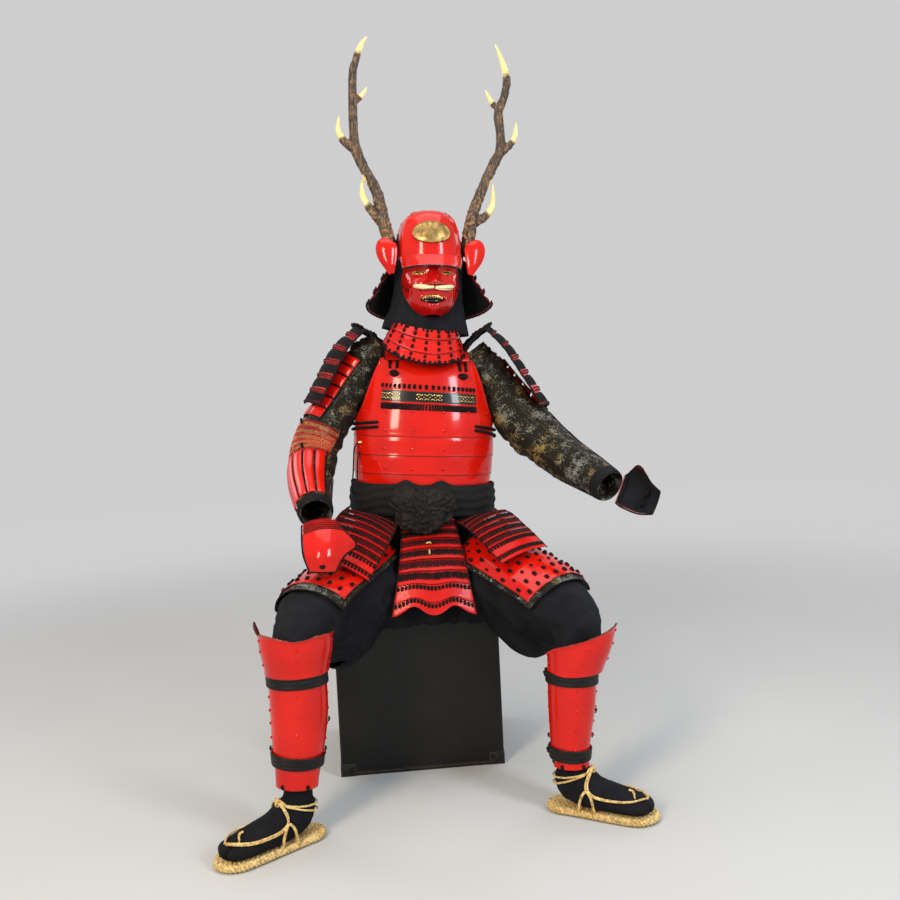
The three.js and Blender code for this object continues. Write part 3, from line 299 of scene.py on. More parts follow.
def add_node(tree, kind, settings, inputs):
    """A node with its settings, then its sockets' values or links, by name or number."""
    made = tree.nodes.new(kind)
    for name, value in dict(settings).items():
        setattr(made, name, value)
    for name, value in dict(inputs).items():
        named = (s for s in made.inputs if name in (s.identifier, s.name) and s.enabled)
        socket = made.inputs[name] if isinstance(name, int) else next(named)
        if isinstance(value, bpy.types.NodeSocket):
            tree.links.new(value, socket)
        else:
            socket.default_value = value
    return made


def show(name, mesh, finish, replaces=(), slot=None, crisp=None):
    """The mesh as a piece of the suit, in its finish. crisp is the angle past which an edge is sharp."""
    crisp = (0 if finish in (LACING, WINE_LACING, STRAW, HAIR,
        ANTLER_FINISH) else 40) if crisp is None else crisp
    mesh.validate()
    mesh.name = name
    mesh.materials.clear()
    mesh.materials.append(finish)
    mesh.shade_smooth()
    if crisp:
        mesh.set_sharp_from_angle(angle=math.radians(crisp))
    obj = in_scene(name, mesh)
    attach(obj, "root")
    if replaces:
        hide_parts(*([replaces] if isinstance(replaces, str) else replaces))
    own = finish.name.split(".")[0]
    slot or SLOTS.get(own, own)
    return obj


def grid_faces(rows, cols, wrap=False):
    r, c = np.arange(rows - 1)[:, None], np.arange(cols if wrap else cols - 1)[None, :]
    n = (c + 1) % cols
    return np.stack([r * cols + c, r * cols + n, (r + 1) * cols + n, (r + 1) * cols + c], -1).reshape(-1, 4)


def to_ends(q, whole):
    gone = (q - q[0]) / (q[-1] - q[0]) * whole
    return np.minimum(gone, whole - gone)


def rounded(q, whole, thick):
    """Places with two more close to each end, and the wall's share of its thickness at each."""
    e = (q[-1] - q[0]) * min(0.5 * thick / whole, 0.2)
    inside = q[(np.abs(q - q[0]) > abs(e) * 1.3) & (np.abs(q[-1] - q) > abs(e) * 1.3)]
    places = joined([q[0] + e * np.array([0, 0.3, 1]), inside, q[-1] - e * np.array([1, 0.3, 0])])
    return places, joined([[0.25, 0.74, 1], np.ones(len(inside)), [1, 0.74, 0.25]])


def across_path(along):
    """A direction across each step of a path, turning as little as it can."""
    first = np.cross(along[0], [0, 0, 1])
    if np.linalg.norm(first) < 0.2:
        first = np.cross(along[0], [0, 1, 0])
    found = [unit(first)]
    for step in along[1:]:
        v = found[-1] - step * (found[-1] @ step)
        found.append(unit(v))
    return np.array(found)


def smooth_path(points, steps, closed=False):
    """Points evenly spaced on a smooth curve through the given ones."""
    p = np.array(points, float)
    p = joined([p[-1:], p, p[:2]]) if closed else joined([2 * p[:1] - p[1:2], p, 2 * p[-1:] - p[-2:-1]])
    fine = []
    for a, b, c, d in zip(p[:-3], p[1:-2], p[2:-1], p[3:]):
        f = spaced(0, 1, 16, endpoint=False)[:, None]
        fine.append(b + 0.5 * f * (c - a + f * (2 * a - 5 * b + 4 * c - d + f * (3 * (b - c) + d - a))))
    fine = joined(fine + [p[-2:-1]])
    gone = joined([[0], np.cumsum(np.linalg.norm(np.diff(fine, axis=0), axis=1))])
    at = spaced(0, gone[-1], steps + 1)
    even = np.stack([np.interp(at, gone, fine[:, k]) for k in range(3)], -1)
    return even[:-1] if closed else even


def rough(points, scale, seed=0, octaves=2):
    """Smooth noise from about -1 to 1 at points in millimetres, with features of about scale."""
    p = np.asarray(points, float)
    flat = p.reshape(-1, 3) / scale + seed
    value = np.array([noise.fractal(Vector(q), 1, 2, octaves) for q in flat])
    return value.reshape(p.shape[:-1])


# ---- sizes of the suit

CUIRASS = table("x y z side front back reachFront reachBack",
    (0, 0, 398, 160, 92, 98, 47, 45), (0, 0, 360, 168, 110, 108, 53, 47), (0, 0, 310, 176, 123, 112, 60, 52),
    (0, 0, 265, 182, 130, 113, 68, 66), (0, 0, 225, 188, 134, 112, 84, 84),
        (0, 0, 190, 190, 135, 111, 89.8, 89.8),
    (0, 0, 120, 188, 132, 106, 89.8, 89.8), (0, 0, 40, 180, 126, 100, 89.8, 89.8))
STRAP = bands((-88, -104, 366, 0, 0, 21, 2), (-90, -92, 396, 0, 4, 21, 2), (-90, -58, 414, 0, 10, 21, 2),
    (-86, 14, 440, 0, 12, 23, 2), (-86, 74, 430, 0, 10, 23, 2), (-87, 94, 404, 0, 4, 23, 2),
    (-86, 99, 372, 0, 0, 23, 2), (-86, 95, 342, 0, 0, 23, 2))
THROAT = rings((-3, -22, 500, 90, 101, 60), (-12, -2, 422, 122, 150, 60))
SASH = rings((0, 0, 70, 190, 137, 111), (0, 0, 28, 193, 142, 116), (0, 0, -12, 190, 140, 115))
SOCK = rings((0, -58, 150, 33, 33, 33), (0, -58, 108, 33, 33, 33), (0, -68, 74, 36, 50, 50),
    (0, -112, 48, 40, 42, 36),
    (0, -170, 40, 46, 30, 26), (0, -215, 36, 45, 20, 20), (0, -240, 34, 34, 14, 14), (0, -252, 33, 8, 5, 5))
BOWL = rings((0, 0, 135, 2, 2, 2), (0, 0, 130, 40, 46, 46), (0, 0, 115, 61, 74, 76), (0, 0, 92, 75, 91, 94),
    (0, 0, 61, 83, 102, 106), (0, 0, 28, 86, 107, 112), (0, 0, 0, 87, 109, 114))
VISOR = rings((0, 0, 6, 92, 113, 100), (0, 0, -8, 92, 124, 100), (0, 0, -27, 87, 139, 100))
NECK = rings((0, 6, 3, 94, 110, 116), (0, -4, -48, 122, 120, 138), (0, -18, -118, 163, 140, 172))
HOOD = rings((0, 8, 120, 2, 2, 2), (0, 8, 108, 50, 58, 58), (0, 7, 60, 74, 88, 90), (0, 5, 0, 79, 88, 92),
    (0, 4, -60, 80, 76, 94), (-3, 4, -130, 92, 62, 98), (-8, 4, -188, 104, 72, 104))
MASK = table("x y z side front back reach",
    (0, -20, -18, 74, 90, 60, 80), (0, -20, -48, 76, 94, 60, 82), (0, -20, -78, 75, 97, 60, 80),
    (0, -23, -108, 68, 93, 60, 74), (0, -27, -134, 54, 82, 60, 68), (0, -29, -155, 26, 66, 60, 60))
FLAP = bands((-114, -50, 51, -8, 0, 9, 0), (-117, -52, 43, -8, 0, 22, 2), (-118, -54, 27, -8, 0, 27, 4),
    (-115, -56, 5, -8, 0, 24, 4), (-110, -58, -18, -8, 0, 15, 3), (-105, -58, -40, -8, 0, 5, 0))
SEAT = rings((38, -84, 724, 150, 100, 92), (36, -80, 670, 164, 108, 98), (33, -70, 590, 184, 116, 132),
    (32, -62, 500, 190, 116, 158), (32, -60, 452, 178, 108, 146))
LAP = rings((-150, -256, 484, 48, 50, 98), (-66, -256, 502, 48, 50, 104), (14, -256, 510, 48, 46, 106),
    (104, -256, 502, 48, 50, 104), (200, -256, 484, 48, 50, 92))
TROUSER_LEG = {
    "right": rings((-42, 30, 545, 88, 88, 84), (-75, -90, 546, 96, 86, 86), (-114, -172, 540, 104, 88, 82),
        (-150, -250, 528, 108, 88, 146), (-198, -342, 510, 106, 84, 190), (-252, -440, 486, 96, 80, 120),
        (-287, -506, 440, 70, 74, 68), (-294, -520, 396, 54, 46, 44), (-295, -522, 366, 46, 40, 38)),
    "left": rings((108, 30, 545, 88, 86, 84), (140, -90, 546, 96, 84, 86), (186, -168, 540, 104, 85, 82),
        (230, -242, 522, 108, 86, 150), (290, -322, 494, 106, 82, 194), (342, -398, 458, 94, 80, 152),
        (366, -454, 408, 70, 70, 74), (352, -484, 352, 48, 42, 44), (348, -492, 324, 42, 38, 40)),
}
SLEEVE = {
    "right": rings((-52, -74, 1130, 50, 54, 54), (-86, -76, 1106, 56, 58, 58), (-128, -82, 1048, 58, 58, 58),
        (-178, -98, 976, 56, 56, 56), (-222, -122, 908, 62, 58, 58), (-246, -158, 846, 60, 56, 58),
        (-250, -236, 790, 53, 50, 50), (-243, -318, 752, 44, 42, 42), (-236, -380, 726, 37, 36, 36)),
    "left": rings((190, -74, 1110, 50, 54, 54), (222, -78, 1062, 58, 58, 58), (270, -90, 994, 60, 56, 58),
        (328, -138, 902, 70, 60, 64), (392, -205, 832, 60, 56, 58), (448, -288, 786, 50, 47, 48),
        (492, -362, 750, 40, 37, 38)),
}
HAND_GUARD = {
    "right": bands((-230, -398, 708, 0, 0, 40, 12), (-224, -428, 672, 0, 0, 46, 16),
    (-222, -448, 634, 0, 0, 44, 18),
        (-224, -456, 598, 0, 0, 30, 14)),
    "left": bands((519, -356, 740, -30, -40, 36, 10), (536, -364, 733, -30, -40, 42, 14),
        (568, -382, 718, -30, -40, 42, 16),
        (596, -398, 706, -30, -40, 30, 12)),
}
SHOULDER_GUARD = {
    "right": bands((-104, -78, 1186, -74, 0, 82, 10), (-164, -82, 1130, -74, 0, 86, 14),
    (-206, -88, 1058, -74, 0, 88, 14),
        (-244, -96, 990, -74, 0, 88, 14)),
    "left": bands((234, -78, 1172, 78, 0, 82, 10), (284, -84, 1120, 78, 0, 86, 14),
        (332, -94, 1040, 78, 0, 88, 14),
        (382, -110, 952, 78, 0, 88, 14)),
}
SHIN = {
    "right": rings((-291, -527, 389, 64, 54, 54), (-291, -525, 300, 64, 54, 54),
    (-299, -523, 200, 56, 49, 49),
        (-304, -524, 130, 47, 44, 44)),
    "left": rings((347, -496, 336, 57, 52, 52), (343, -497, 256, 55, 51, 51), (336, -498, 170, 47, 46, 46),
        (333, -499, 112, 42, 44, 42)),
}
KNEE = {
    "right": rings((-287, -548, 496, 82, 66, 60), (-288, -542, 448, 80, 64, 60),
    (-291, -530, 380, 67, 58, 58)),
    "left": rings((372, -500, 456, 84, 66, 60), (364, -500, 400, 78, 64, 60), (347, -498, 328, 61, 57, 57)),
}
SKIRT = {
    "front": bands((38, -205, 702, 0, 0, 66, 6), (44, -222, 650, 0, 0, 72, 8), (44, -296, 560, 0, 2, 86, 12),
        (40, -332, 448, 0, 5, 106, 14)),
    "front_right": bands((-86, -186, 684, -34, -4, 60, 6), (-112, -250, 682, -28, -28, 72, 10),
        (-148, -332, 640, -18, -28, 74, 12),
        (-184, -398, 592, -12, -27, 72, 12)),
    "front_left": bands((158, -184, 664, 36, -4, 54, 6), (196, -242, 668, 38, 16, 66, 10),
        (236, -300, 630, 36, 14, 72, 12),
        (272, -350, 588, 34, 12, 74, 12)),
    "side_right": bands((-162, -52, 694, -90, 0, 58, 6), (-196, -50, 650, -90, 0, 64, 8),
        (-226, -46, 560, -90, 0, 74, 10),
        (-240, -42, 480, -74, 0, 82, 12)),
    "side_left": bands((238, -52, 668, 90, 0, 58, 6), (264, -50, 630, 90, 0, 64, 8),
        (290, -46, 550, 90, 0, 74, 10),
        (300, -42, 478, 90, 0, 82, 12)),
    "back_right": bands((-78, 30, 694, 215, 0, 58, 6), (-96, 62, 640, 212, 0, 66, 8),
        (-108, 92, 560, 205, 0, 78, 10),
        (-112, 104, 480, 200, 0, 84, 12)),
    "back_left": bands((150, 30, 678, 145, 0, 58, 6), (166, 62, 630, 148, 0, 66, 8),
        (178, 92, 555, 155, 0, 78, 10),
        (182, 104, 480, 160, 0, 84, 12)),
}
ANTLER = {
    "right": {
        "beam": branch((-104, -8, 14, 13), (-108, -12, 55, 16), (-121, -12, 100, 15), (-138, -5, 181, 13),
        (-167, 1, 236, 12),
            (-190, 7, 290, 12), (-198, 11, 338, 10), (-199, 17, 405, 10), (-199, 24, 496, 9),
            (-188, 27, 543, 8),
            (-174, 30, 580, 6), (-158, 31, 602, 1.5)),
        "brow": branch((-120, -12, 92, 11), (-155, -8, 134, 9), (-175, -3, 172, 7), (-178, 0, 215, 1.5)),
        "second": branch((-190, 7, 290, 10), (-222, 11, 316, 9), (-238, 14, 346, 6), (-236, 17, 385, 1.5)),
        "third": branch((-198, 18, 425, 8), (-178, 18, 438, 6), (-161, 20, 465, 1.5)),
    },
    "left": {
        "beam": branch((104, -12, 14, 13), (106, -20, 58, 16), (113, -24, 106, 15), (122, -22, 140, 13),
        (146, -18, 199, 12),
            (178, -15, 267, 12), (195, -13, 300, 11), (196, -9, 350, 10), (192, -4, 404, 10),
            (208, -2, 448, 9),
            (216, 2, 497, 9), (204, 6, 546, 6), (186, 11, 592, 1.5)),
        "brow": branch((113, -24, 100, 11), (148, -25, 120, 9), (170, -24, 150, 7), (174, -19, 210, 1.5)),
        "second": branch((190, -13, 290, 10), (221, -13, 316, 8), (236, -12, 343, 6), (240, -9, 380, 1.5)),
        "third": branch((194, -3, 415, 8), (174, -1, 432, 6), (157, 2, 466, 1.5)),
    },
}
SOLE = {"length": 262, "width": 98, "thick": 20}


# ---- finishes

ROOM = (0.62, 0.62, 0.63)  # the light of the room all round
FAR_FLOOR = (0.592, 0.592, 0.602)  # the same, less what the floor reflects


class Value:
    """A value in a finish. Arithmetic on it adds Math nodes."""

    def __init__(self, finish, socket):
        self.finish, self.socket = finish, socket

    def math(self, operation, other, swap=False, **settings):
        a, b = (other, self) if swap else (self, other)
        return self.finish.node("Math", {"operation": operation, **settings}, {0: a, 1: b})

    def __add__(self, other):
        return self.math("ADD", other)

    def __sub__(self, other):
        return self.math("SUBTRACT", other)

    def __mul__(self, other):
        return self.math("MULTIPLY", other)

    def __rsub__(self, other):
        return self.math("SUBTRACT", other, swap=True)

    __radd__, __rmul__ = __add__, __mul__

    def sine(self):
        return self.math("SINE", 0)

    def above(self, low, high):
        """0 below low, 1 above high, and smooth between them."""
        settings = {"interpolation_type": "SMOOTHSTEP"}
        return self.finish.node("MapRange", settings, {"Value": self, "From Min": low, "From Max": high})


class Finish:
    """A material: its constants by socket name, and the nodes of what varies."""

    def __init__(self, name, **constants):
        self.material = bpy.data.materials.new(name)
        self.material.use_nodes = True
        self.tree = self.material.node_tree
        self.shader = next(n for n in self.tree.nodes if n.type == "BSDF_PRINCIPLED")
        for socket, value in constants.items():
            self.shader.inputs[socket.replace("_", " ")].default_value = value
        self.place = self.node("TexCoord", output="Object")

    def node(self, kind, settings=(), inputs=(), output=0):
        values = {name: v.socket if isinstance(v, Value) else v for name, v in dict(inputs).items()}
        made = add_node(self.tree, "ShaderNode" + kind, settings, values).outputs
        return Value(self, made[output]
            if isinstance(output, int) else next(s for s in made if output in (s.identifier, s.name)))

    def join(self, value, socket):
        self.tree.links.new(value.socket, self.shader.inputs[socket])

    def noise(self, where, scale, detail=3, rough=0.5, bend=0):
        look = {"Vector": where, "Scale": scale, "Detail": detail, "Roughness": rough, "Distortion": bend}
        return self.node("TexNoise", {"noise_dimensions": "3D"}, look, "Fac")

    def cells(self, where, scale, feature="F1", spread=1):
        look = {"Vector": where, "Scale": scale, "Randomness": spread}
        return self.node("TexVoronoi", {"feature": feature}, look, "Distance")

    def stretched(self, where, x, y, z):
        return self.node("VectorMath", {"operation": "MULTIPLY"}, {0: where, 1: (x, y, z)})

    def axes(self, where):
        return [self.node("SeparateXYZ", (), {"Vector": where}, axis) for axis in "XYZ"]

    def lay(self):
        """The piece's own length and width in metres, from its UV map."""
        return self.node("UVMap", {"uv_map": "lay"})

    def mark(self, name):
        return self.node("Attribute", {"attribute_name": name}, (), "Fac")

    def mix(self, share, low, high):
        low, high = ((*c, 1) if isinstance(c, tuple) else c for c in (low, high))
        colours = {"Factor_Float": share, "A_Color": low, "B_Color": high}
        return self.node("Mix", {"data_type": "RGBA"}, colours, "Result_Color")

    def done(self, colour, roughness, metal=None, height=None, deep=0.001):
        """Joins what varies to the shader. height is the relief, deep how many metres 1 of it is."""
        for socket, value in (("Base Color", colour), ("Roughness", roughness), ("Metallic", metal)):
            if value is not None:
                self.join(value, socket)
        if height is not None:
            self.join(self.node("Bump", (), {"Strength": 1, "Distance": deep, "Height": height}), "Normal")
        return self.material


def lacquer(name, bright, deep, worn, gloss=0.16, peel=1, coat=0.36):
    """Urushi lacquer: brushed level, a little uneven, duller and rubbed through on the edges."""
    f = Finish(name, Coat_Weight=coat, Coat_Roughness=0.05, Specular_IOR_Level=0.16)
    cloud = f.noise(f.place, 9, 4)
    fine = f.noise(f.place, 420, 2)
    rub = (f.mark("rim") * 1.5 + f.noise(f.place, 130, 3) - 1.1).above(0, 0.75)
    scratch = (f.noise(f.stretched(f.place, 1, 1, 9), 190, 2, 0.7)).above(0.64, 0.72)
    colour = f.mix(rub * 0.75, f.mix(cloud.above(0.3, 0.7), deep, bright), worn)
    rough = gloss + cloud * 0.06 + scratch * 0.1 + rub * 0.3
    relief = f.noise(f.place, 34, 2) * (0.8 * peel) + fine * 0.07 - scratch * 0.05
    return f.done(colour, rough, height=relief, deep=0.0006)


def chest_lacquer():
    """Thin black lacquer over boards: faint grain, dust and rubbed corners."""
    f = Finish("chest_lacquer", Coat_Weight=0.12, Coat_Roughness=0.25, Specular_IOR_Level=0.22)
    grain = f.noise(f.stretched(f.place, 1, 1, 14), 34, 5, 0.6)
    dust = f.noise(f.place, 5, 5, 0.6)
    rub = (f.mark("rim") * 1.2 + f.noise(f.place, 80, 3) - 1.05).above(0, 0.8)
    colour = f.mix(rub * 0.7, f.mix(dust.above(0.35, 0.8), (0.0035, 0.0032, 0.003), (0.0085, 0.0078, 0.0068)),
        (0.055, 0.036, 0.024))
    rough = 0.34 + dust * 0.2 + rub * 0.2 - grain * 0.06
    return f.done(colour, rough, height=grain + f.noise(f.place, 300, 2) * 0.15, deep=0.0004)


def silk(name, dark, light, pitch=0.0011):
    """Flat braided silk: fine slanting ribs both ways."""
    f = Finish(name, Specular_IOR_Level=0.16)
    x, y, z = f.axes(f.place)
    k = 2 * math.pi / pitch
    weave = ((x + z) * k).sine() * ((y - z) * k + (x - z) * (0.7 * k)).sine()
    tone = f.noise(f.place, 120, 3)
    colour = f.mix((tone * 0.8 + weave * 0.25).above(0.2, 0.9), dark, light)
    return f.done(colour, 0.62 - weave * 0.08, height=weave * 0.5 + tone, deep=0.0004)


def cotton(name, dark, light, thread=0.0009):
    """Plain woven cloth, with soft creases, a painted highlight along their ridges, and a little faded."""
    f = Finish(name, Specular_IOR_Level=0.14)
    x, y, z = f.axes(f.place)
    k = 2 * math.pi / thread
    weave = (x * k).sine() * (z * k).sine() + (y * k).sine() * ((x + z) * k).sine()
    crease = f.noise(f.place, 16, 6, 0.62, 0.6)
    worn = f.noise(f.place, 4, 3)
    slub = f.noise(f.stretched(f.place, 1, 1, 12), 160, 2)
    # lighter where the crease relief stands high: a painted highlight along the folds; worn and slub are real fading
    # and uneven thread
    colour = f.mix((crease * 0.6 + worn * 0.5 + slub * 0.2).above(0.35, 0.95), dark, light)
    return f.done(colour, 0.82 + slub * 0.1, height=crease * 3 + weave * 0.06 + slub * 0.12, deep=0.0014)


def brocade():
    """Figured brocade: gold and silver weft over a black ground, in a small scrolling pattern, with painted
    highlights speckled over the gold.
    """
    f = Finish("brocade", Specular_IOR_Level=0.16)
    lay = f.lay()
    u, v, _ = f.axes(lay)
    warp = f.noise(lay, 30, 3)
    ring = (f.cells(lay, 78, spread=0.8) * 22 + warp * 5).sine()
    leaf = f.noise(lay, 150, 4, 0.62, 1.8)
    patch = f.noise(lay, 24, 4, 0.62)
    weft = (v * (2 * math.pi / 0.0017) + warp * 3).sine()
    twill = ((u + v) * (2 * math.pi / 0.0011)).sine()
    # painted highlights: a fine speckle that dims the gold thread between bright spots
    painted_glint = f.noise(lay, 430, 2, 0.6).above(0.4, 0.62)
    # the gold pattern, dimmed between the painted highlights
    figure_and_painted_glint = (ring * 0.16 + leaf * 1.7 + patch * 2.6 - 2.27).above(0, 0.2) * (painted_glint * 0.75 + 0.25)
    gold = figure_and_painted_glint * (weft * 0.5 + 0.62).above(0.2, 0.7)
    silver = (f.noise(lay, 9, 2) + leaf * 0.3 - 0.15).above(0.42, 0.56)
    thread = f.mix(silver, (0.8, 0.55, 0.17), (0.66, 0.68, 0.58))
    ground = f.mix((leaf + twill * 0.12).above(0.3, 0.7), (0.0035, 0.0035, 0.0035), (0.02, 0.015, 0.008))
    crease = f.noise(lay, 22, 4, 0.6, 0.8)
    height = crease * 2.2 + gold * 0.35 + weft * 0.1 + twill * 0.05
    return f.done(f.mix(gold, ground, thread), 0.6 - gold * 0.32, gold * 0.6, height, 0.0022)


def sash_cloth():
    """Black crepe with a dull gold and brown scatter that shows where it is bunched."""
    f = Finish("sash_cloth", Specular_IOR_Level=0.15)
    crepe = f.noise(f.place, 330, 3, 0.7)
    leaf = f.noise(f.place, 44, 4, 0.62, 1.2)
    show = (leaf + f.mark("bunch") * 0.14 - 0.06).above(0.52, 0.72)
    gold = f.mix(f.noise(f.place, 90, 2), (0.034, 0.021, 0.008), (0.012, 0.013, 0.012))
    colour = f.mix(show * 0.85, f.mix(crepe, (0.004, 0.004, 0.0045), (0.012, 0.012, 0.012)), gold)
    return f.done(colour, 0.78 - show * 0.2, show * 0.25, crepe * 0.4 + f.noise(f.place, 55, 4), 0.001)


def leather():
    f = Finish("black_leather", Coat_Weight=0.06, Coat_Roughness=0.3, Specular_IOR_Level=0.2)
    grain = f.cells(f.place, 420)
    tone = f.noise(f.place, 22, 4)
    colour = f.mix((tone + f.mark("rim") * 0.3).above(0.35, 0.9), (0.004, 0.0038, 0.0038),
        (0.016, 0.013, 0.011))
    return f.done(colour, 0.42 + tone * 0.16, height=grain * 0.5 + tone * 0.8, deep=0.0006)


def metal(name, bright, dark, rough=0.32, hammer=60):
    """Aged plate metal: hammered faintly, tarnished darker in patches, less so at the edges."""
    f = Finish(name)
    dent = f.cells(f.place, hammer, "SMOOTH_F1")
    tarnish = f.noise(f.place, 70, 5, 0.65)
    colour = f.mix((tarnish - f.mark("rim") * 0.12).above(0.36, 0.68), bright, dark)
    return f.done(colour, rough + tarnish.above(0.4, 0.7) * 0.22, 0.92 - tarnish.above(0.5, 0.75) * 0.25,
        dent * 0.8 + tarnish * 0.25, 0.0009)


def straw():
    """Dry rice straw: fine fibres along each strand, golden with browner stalks."""
    f = Finish("straw", Sheen_Weight=0.1)
    lay = f.lay()
    fibre = f.noise(f.stretched(lay, 9, 1, 1), 150, 4, 0.6)
    stalk = f.noise(f.place, 160, 3)
    patch = f.noise(f.place, 26, 3)
    warm = f.mix(patch.above(0.3, 0.7), (0.62, 0.4, 0.12), (0.78, 0.58, 0.24))
    colour = f.mix((fibre * 0.6 + stalk * 0.7).above(0.56, 0.84), warm, (0.26, 0.13, 0.035))
    return f.done(colour, 0.66 + fibre * 0.15, height=fibre + stalk * 0.6, deep=0.0009)


def antler():
    """Stag's antler: dark grooved bark with pearly knobs, rubbed pale and smooth at the tips."""
    f = Finish("antler", Coat_Weight=0.12, Coat_Roughness=0.3)
    groove = f.noise(f.stretched(f.place, 1, 1, 0.14), 250, 5, 0.66, 0.3)
    knob = f.mark("knob")
    tone = f.noise(f.place, 30, 4)
    # lighter on the ridges of the groove relief and darker in the grooves: partly the antler's own colour, partly a
    # painted highlight along the ridges and painted shade in the grooves; the knobs are pale pearling
    bark = f.mix((groove * 1.2 + tone * 0.3 + knob * 0.35).above(0.62, 1.15), (0.01, 0.005, 0.0025),
        (0.26, 0.135, 0.05))
    pale = f.mix(groove.above(0.35, 0.7), (0.74, 0.5, 0.15), (0.88, 0.74, 0.36))
    tip = (f.mark("tip") + (tone - 0.5) * 0.3).above(0.25, 0.75)
    return f.done(f.mix(tip, bark, pale), 0.58 - tip * 0.26 + groove * 0.1,
        height=(1 - tip * 0.75) * (groove * 1.2 + knob * 0.4), deep=0.0018)


def hair():
    f = Finish("hair", Sheen_Weight=0.2)
    strand = f.noise(f.stretched(f.place, 0.4, 1, 1), 500, 3)
    colour = f.mix(strand.above(0.3, 0.75), (0.8, 0.62, 0.3), (0.93, 0.84, 0.6))
    return f.done(colour, 0.52 + strand * 0.2, height=strand, deep=0.0004)


def floor_paint():
    """Pale matt paint that runs out into the light of the room."""
    f = Finish("floor_paint", Specular_IOR_Level=0.2, Emission_Strength=1)
    cloud = f.noise(f.place, 1.6, 3)
    far = f.node("VectorMath", {"operation": "LENGTH"}, {0: f.place}, "Value").above(1.3, 4.2)
    near = f.mix(cloud, (0.46, 0.46, 0.455), (0.5, 0.5, 0.495))
    f.join(f.mix(far, (0, 0, 0), FAR_FLOOR), "Emission Color")
    return f.done(f.mix(far, near, (0, 0, 0)), 0.75 + cloud * 0.08)


RED = lacquer("red_lacquer", (0.56, 0.008, 0.002), (0.46, 0.005, 0.002), (0.17, 0.006, 0.005))
LAME = lacquer("lame_lacquer", (0.56, 0.007, 0.003), (0.42, 0.004, 0.002), (0.1, 0.005, 0.004), 0.36,
    coat=0.1)
BLACK = lacquer("rim_lacquer", (0.01, 0.009, 0.009), (0.006, 0.005, 0.005), (0.06, 0.03, 0.02), 0.2)
MASK_RED = lacquer("mask_lacquer", (0.5, 0.006, 0.003), (0.34, 0.003, 0.002), (0.1, 0.004, 0.004), 0.1,
    0.5, 0.6)
WINE_LACQUER = lacquer("wine_lacquer", (0.1, 0.008, 0.006), (0.05, 0.005, 0.004), (0.03, 0.006, 0.005), 0.3,
    coat=0.2)
CHEST, LEATHER, BROCADE, SASH_CLOTH = chest_lacquer(), leather(), brocade(), sash_cloth()
STRAW, ANTLER_FINISH, HAIR = straw(), antler(), hair()
LACING = silk("lacing_silk", (0.0035, 0.003, 0.0035), (0.017, 0.012, 0.012))
WINE_LACING = silk("wine_lacing", (0.03, 0.003, 0.004), (0.085, 0.008, 0.009))
GOLD_THREAD = silk("gold_thread", (0.42, 0.27, 0.07), (0.85, 0.68, 0.34), 0.0016)
COTTON = cotton("black_cotton", (0.0022, 0.0023, 0.003), (0.0125, 0.013, 0.0165))
BRASS = metal("brass", (0.5, 0.32, 0.11), (0.13, 0.075, 0.03))
IRON = metal("black_iron", (0.045, 0.043, 0.042), (0.012, 0.011, 0.011), 0.42)
GILT = metal("gilt", (0.8, 0.56, 0.2), (0.32, 0.18, 0.05), 0.24)
SLOTS = {  # the slot of each finish that isn't named after its own
    "mask_lacquer": "red_lacquer", "wine_lacquer": "red_lacquer", "lame_lacquer": "laced_lames",
        "gilt": "brass",
    "rim_lacquer": "black_cord", "lacing_silk": "black_cord", "wine_lacing": "black_cord",
    "gold_thread": "black_cord", "black_cotton": "black_cloth",
}

# ---- camera, light and floor


def camera():
    data = bpy.data.cameras.new("camera")
    data.lens, data.sensor_width = 37.48, 36
    obj = in_scene("camera", data)
    turn = lambda angle, axis: Matrix.Rotation(math.radians(angle), 4, axis)
    obj.matrix_world = Matrix.Translation((-0.113, -2.639, 0.995)) @ turn(-5.25, "Z") @ turn(86.665,
        "X") @ turn(-2.8, "Z")
    bpy.context.scene.camera = obj


def softbox(name, at, to, wide, high, power, colour):
    data = bpy.data.lights.new(name, "AREA")
    data.shape, data.size, data.size_y, data.energy, data.color = "RECTANGLE", wide, high, power, colour
    look = (Vector(to) - Vector(at)).to_track_quat("-Z", "Y")
    in_scene(name, data).matrix_world = Matrix.Translation(at) @ look.to_matrix().to_4x4()


def studio():
    softbox("window_right", (-1.5, -2.6, 2), (0, 0, 0.9), 0.62, 1.5, 74, (1, 0.9, 0.72))
    softbox("window_left", (1.7, -2.3, 1.9), (0, 0, 0.9), 0.5, 1.3, 48, (0.84, 0.92, 1))
    softbox("overhead", (0, -0.4, 3.6), (0, -0.1, 0.8), 2.6, 2.2, 38, (1, 0.98, 0.96))
    softbox("behind_right", (-2.6, 1.6, 2.6), (0, 0, 0.9), 1.1, 1.6, 15, (1, 0.96, 0.92))
    softbox("behind_left", (2.6, 1.6, 2.6), (0, 0, 0.9), 1.1, 1.6, 15, (0.92, 0.96, 1))
    world = bpy.data.worlds.new("studio")
    world.use_nodes = True
    world.node_tree.nodes["Background"].inputs["Color"].default_value = (*ROOM, 1)
    bpy.context.scene.world = world
    bpy.context.scene.view_settings.view_transform = "Standard"
    mesh = bpy.data.meshes.new("floor")
    rim = [(7 * math.cos(a), 7 * math.sin(a), 0) for a in spaced(0, 2 * math.pi, 64, endpoint=False)]
    mesh.from_pydata(rim, [], [tuple(range(64))])
    mesh.materials.append(floor_paint())
    in_scene("floor", mesh)


# ---- the side cord

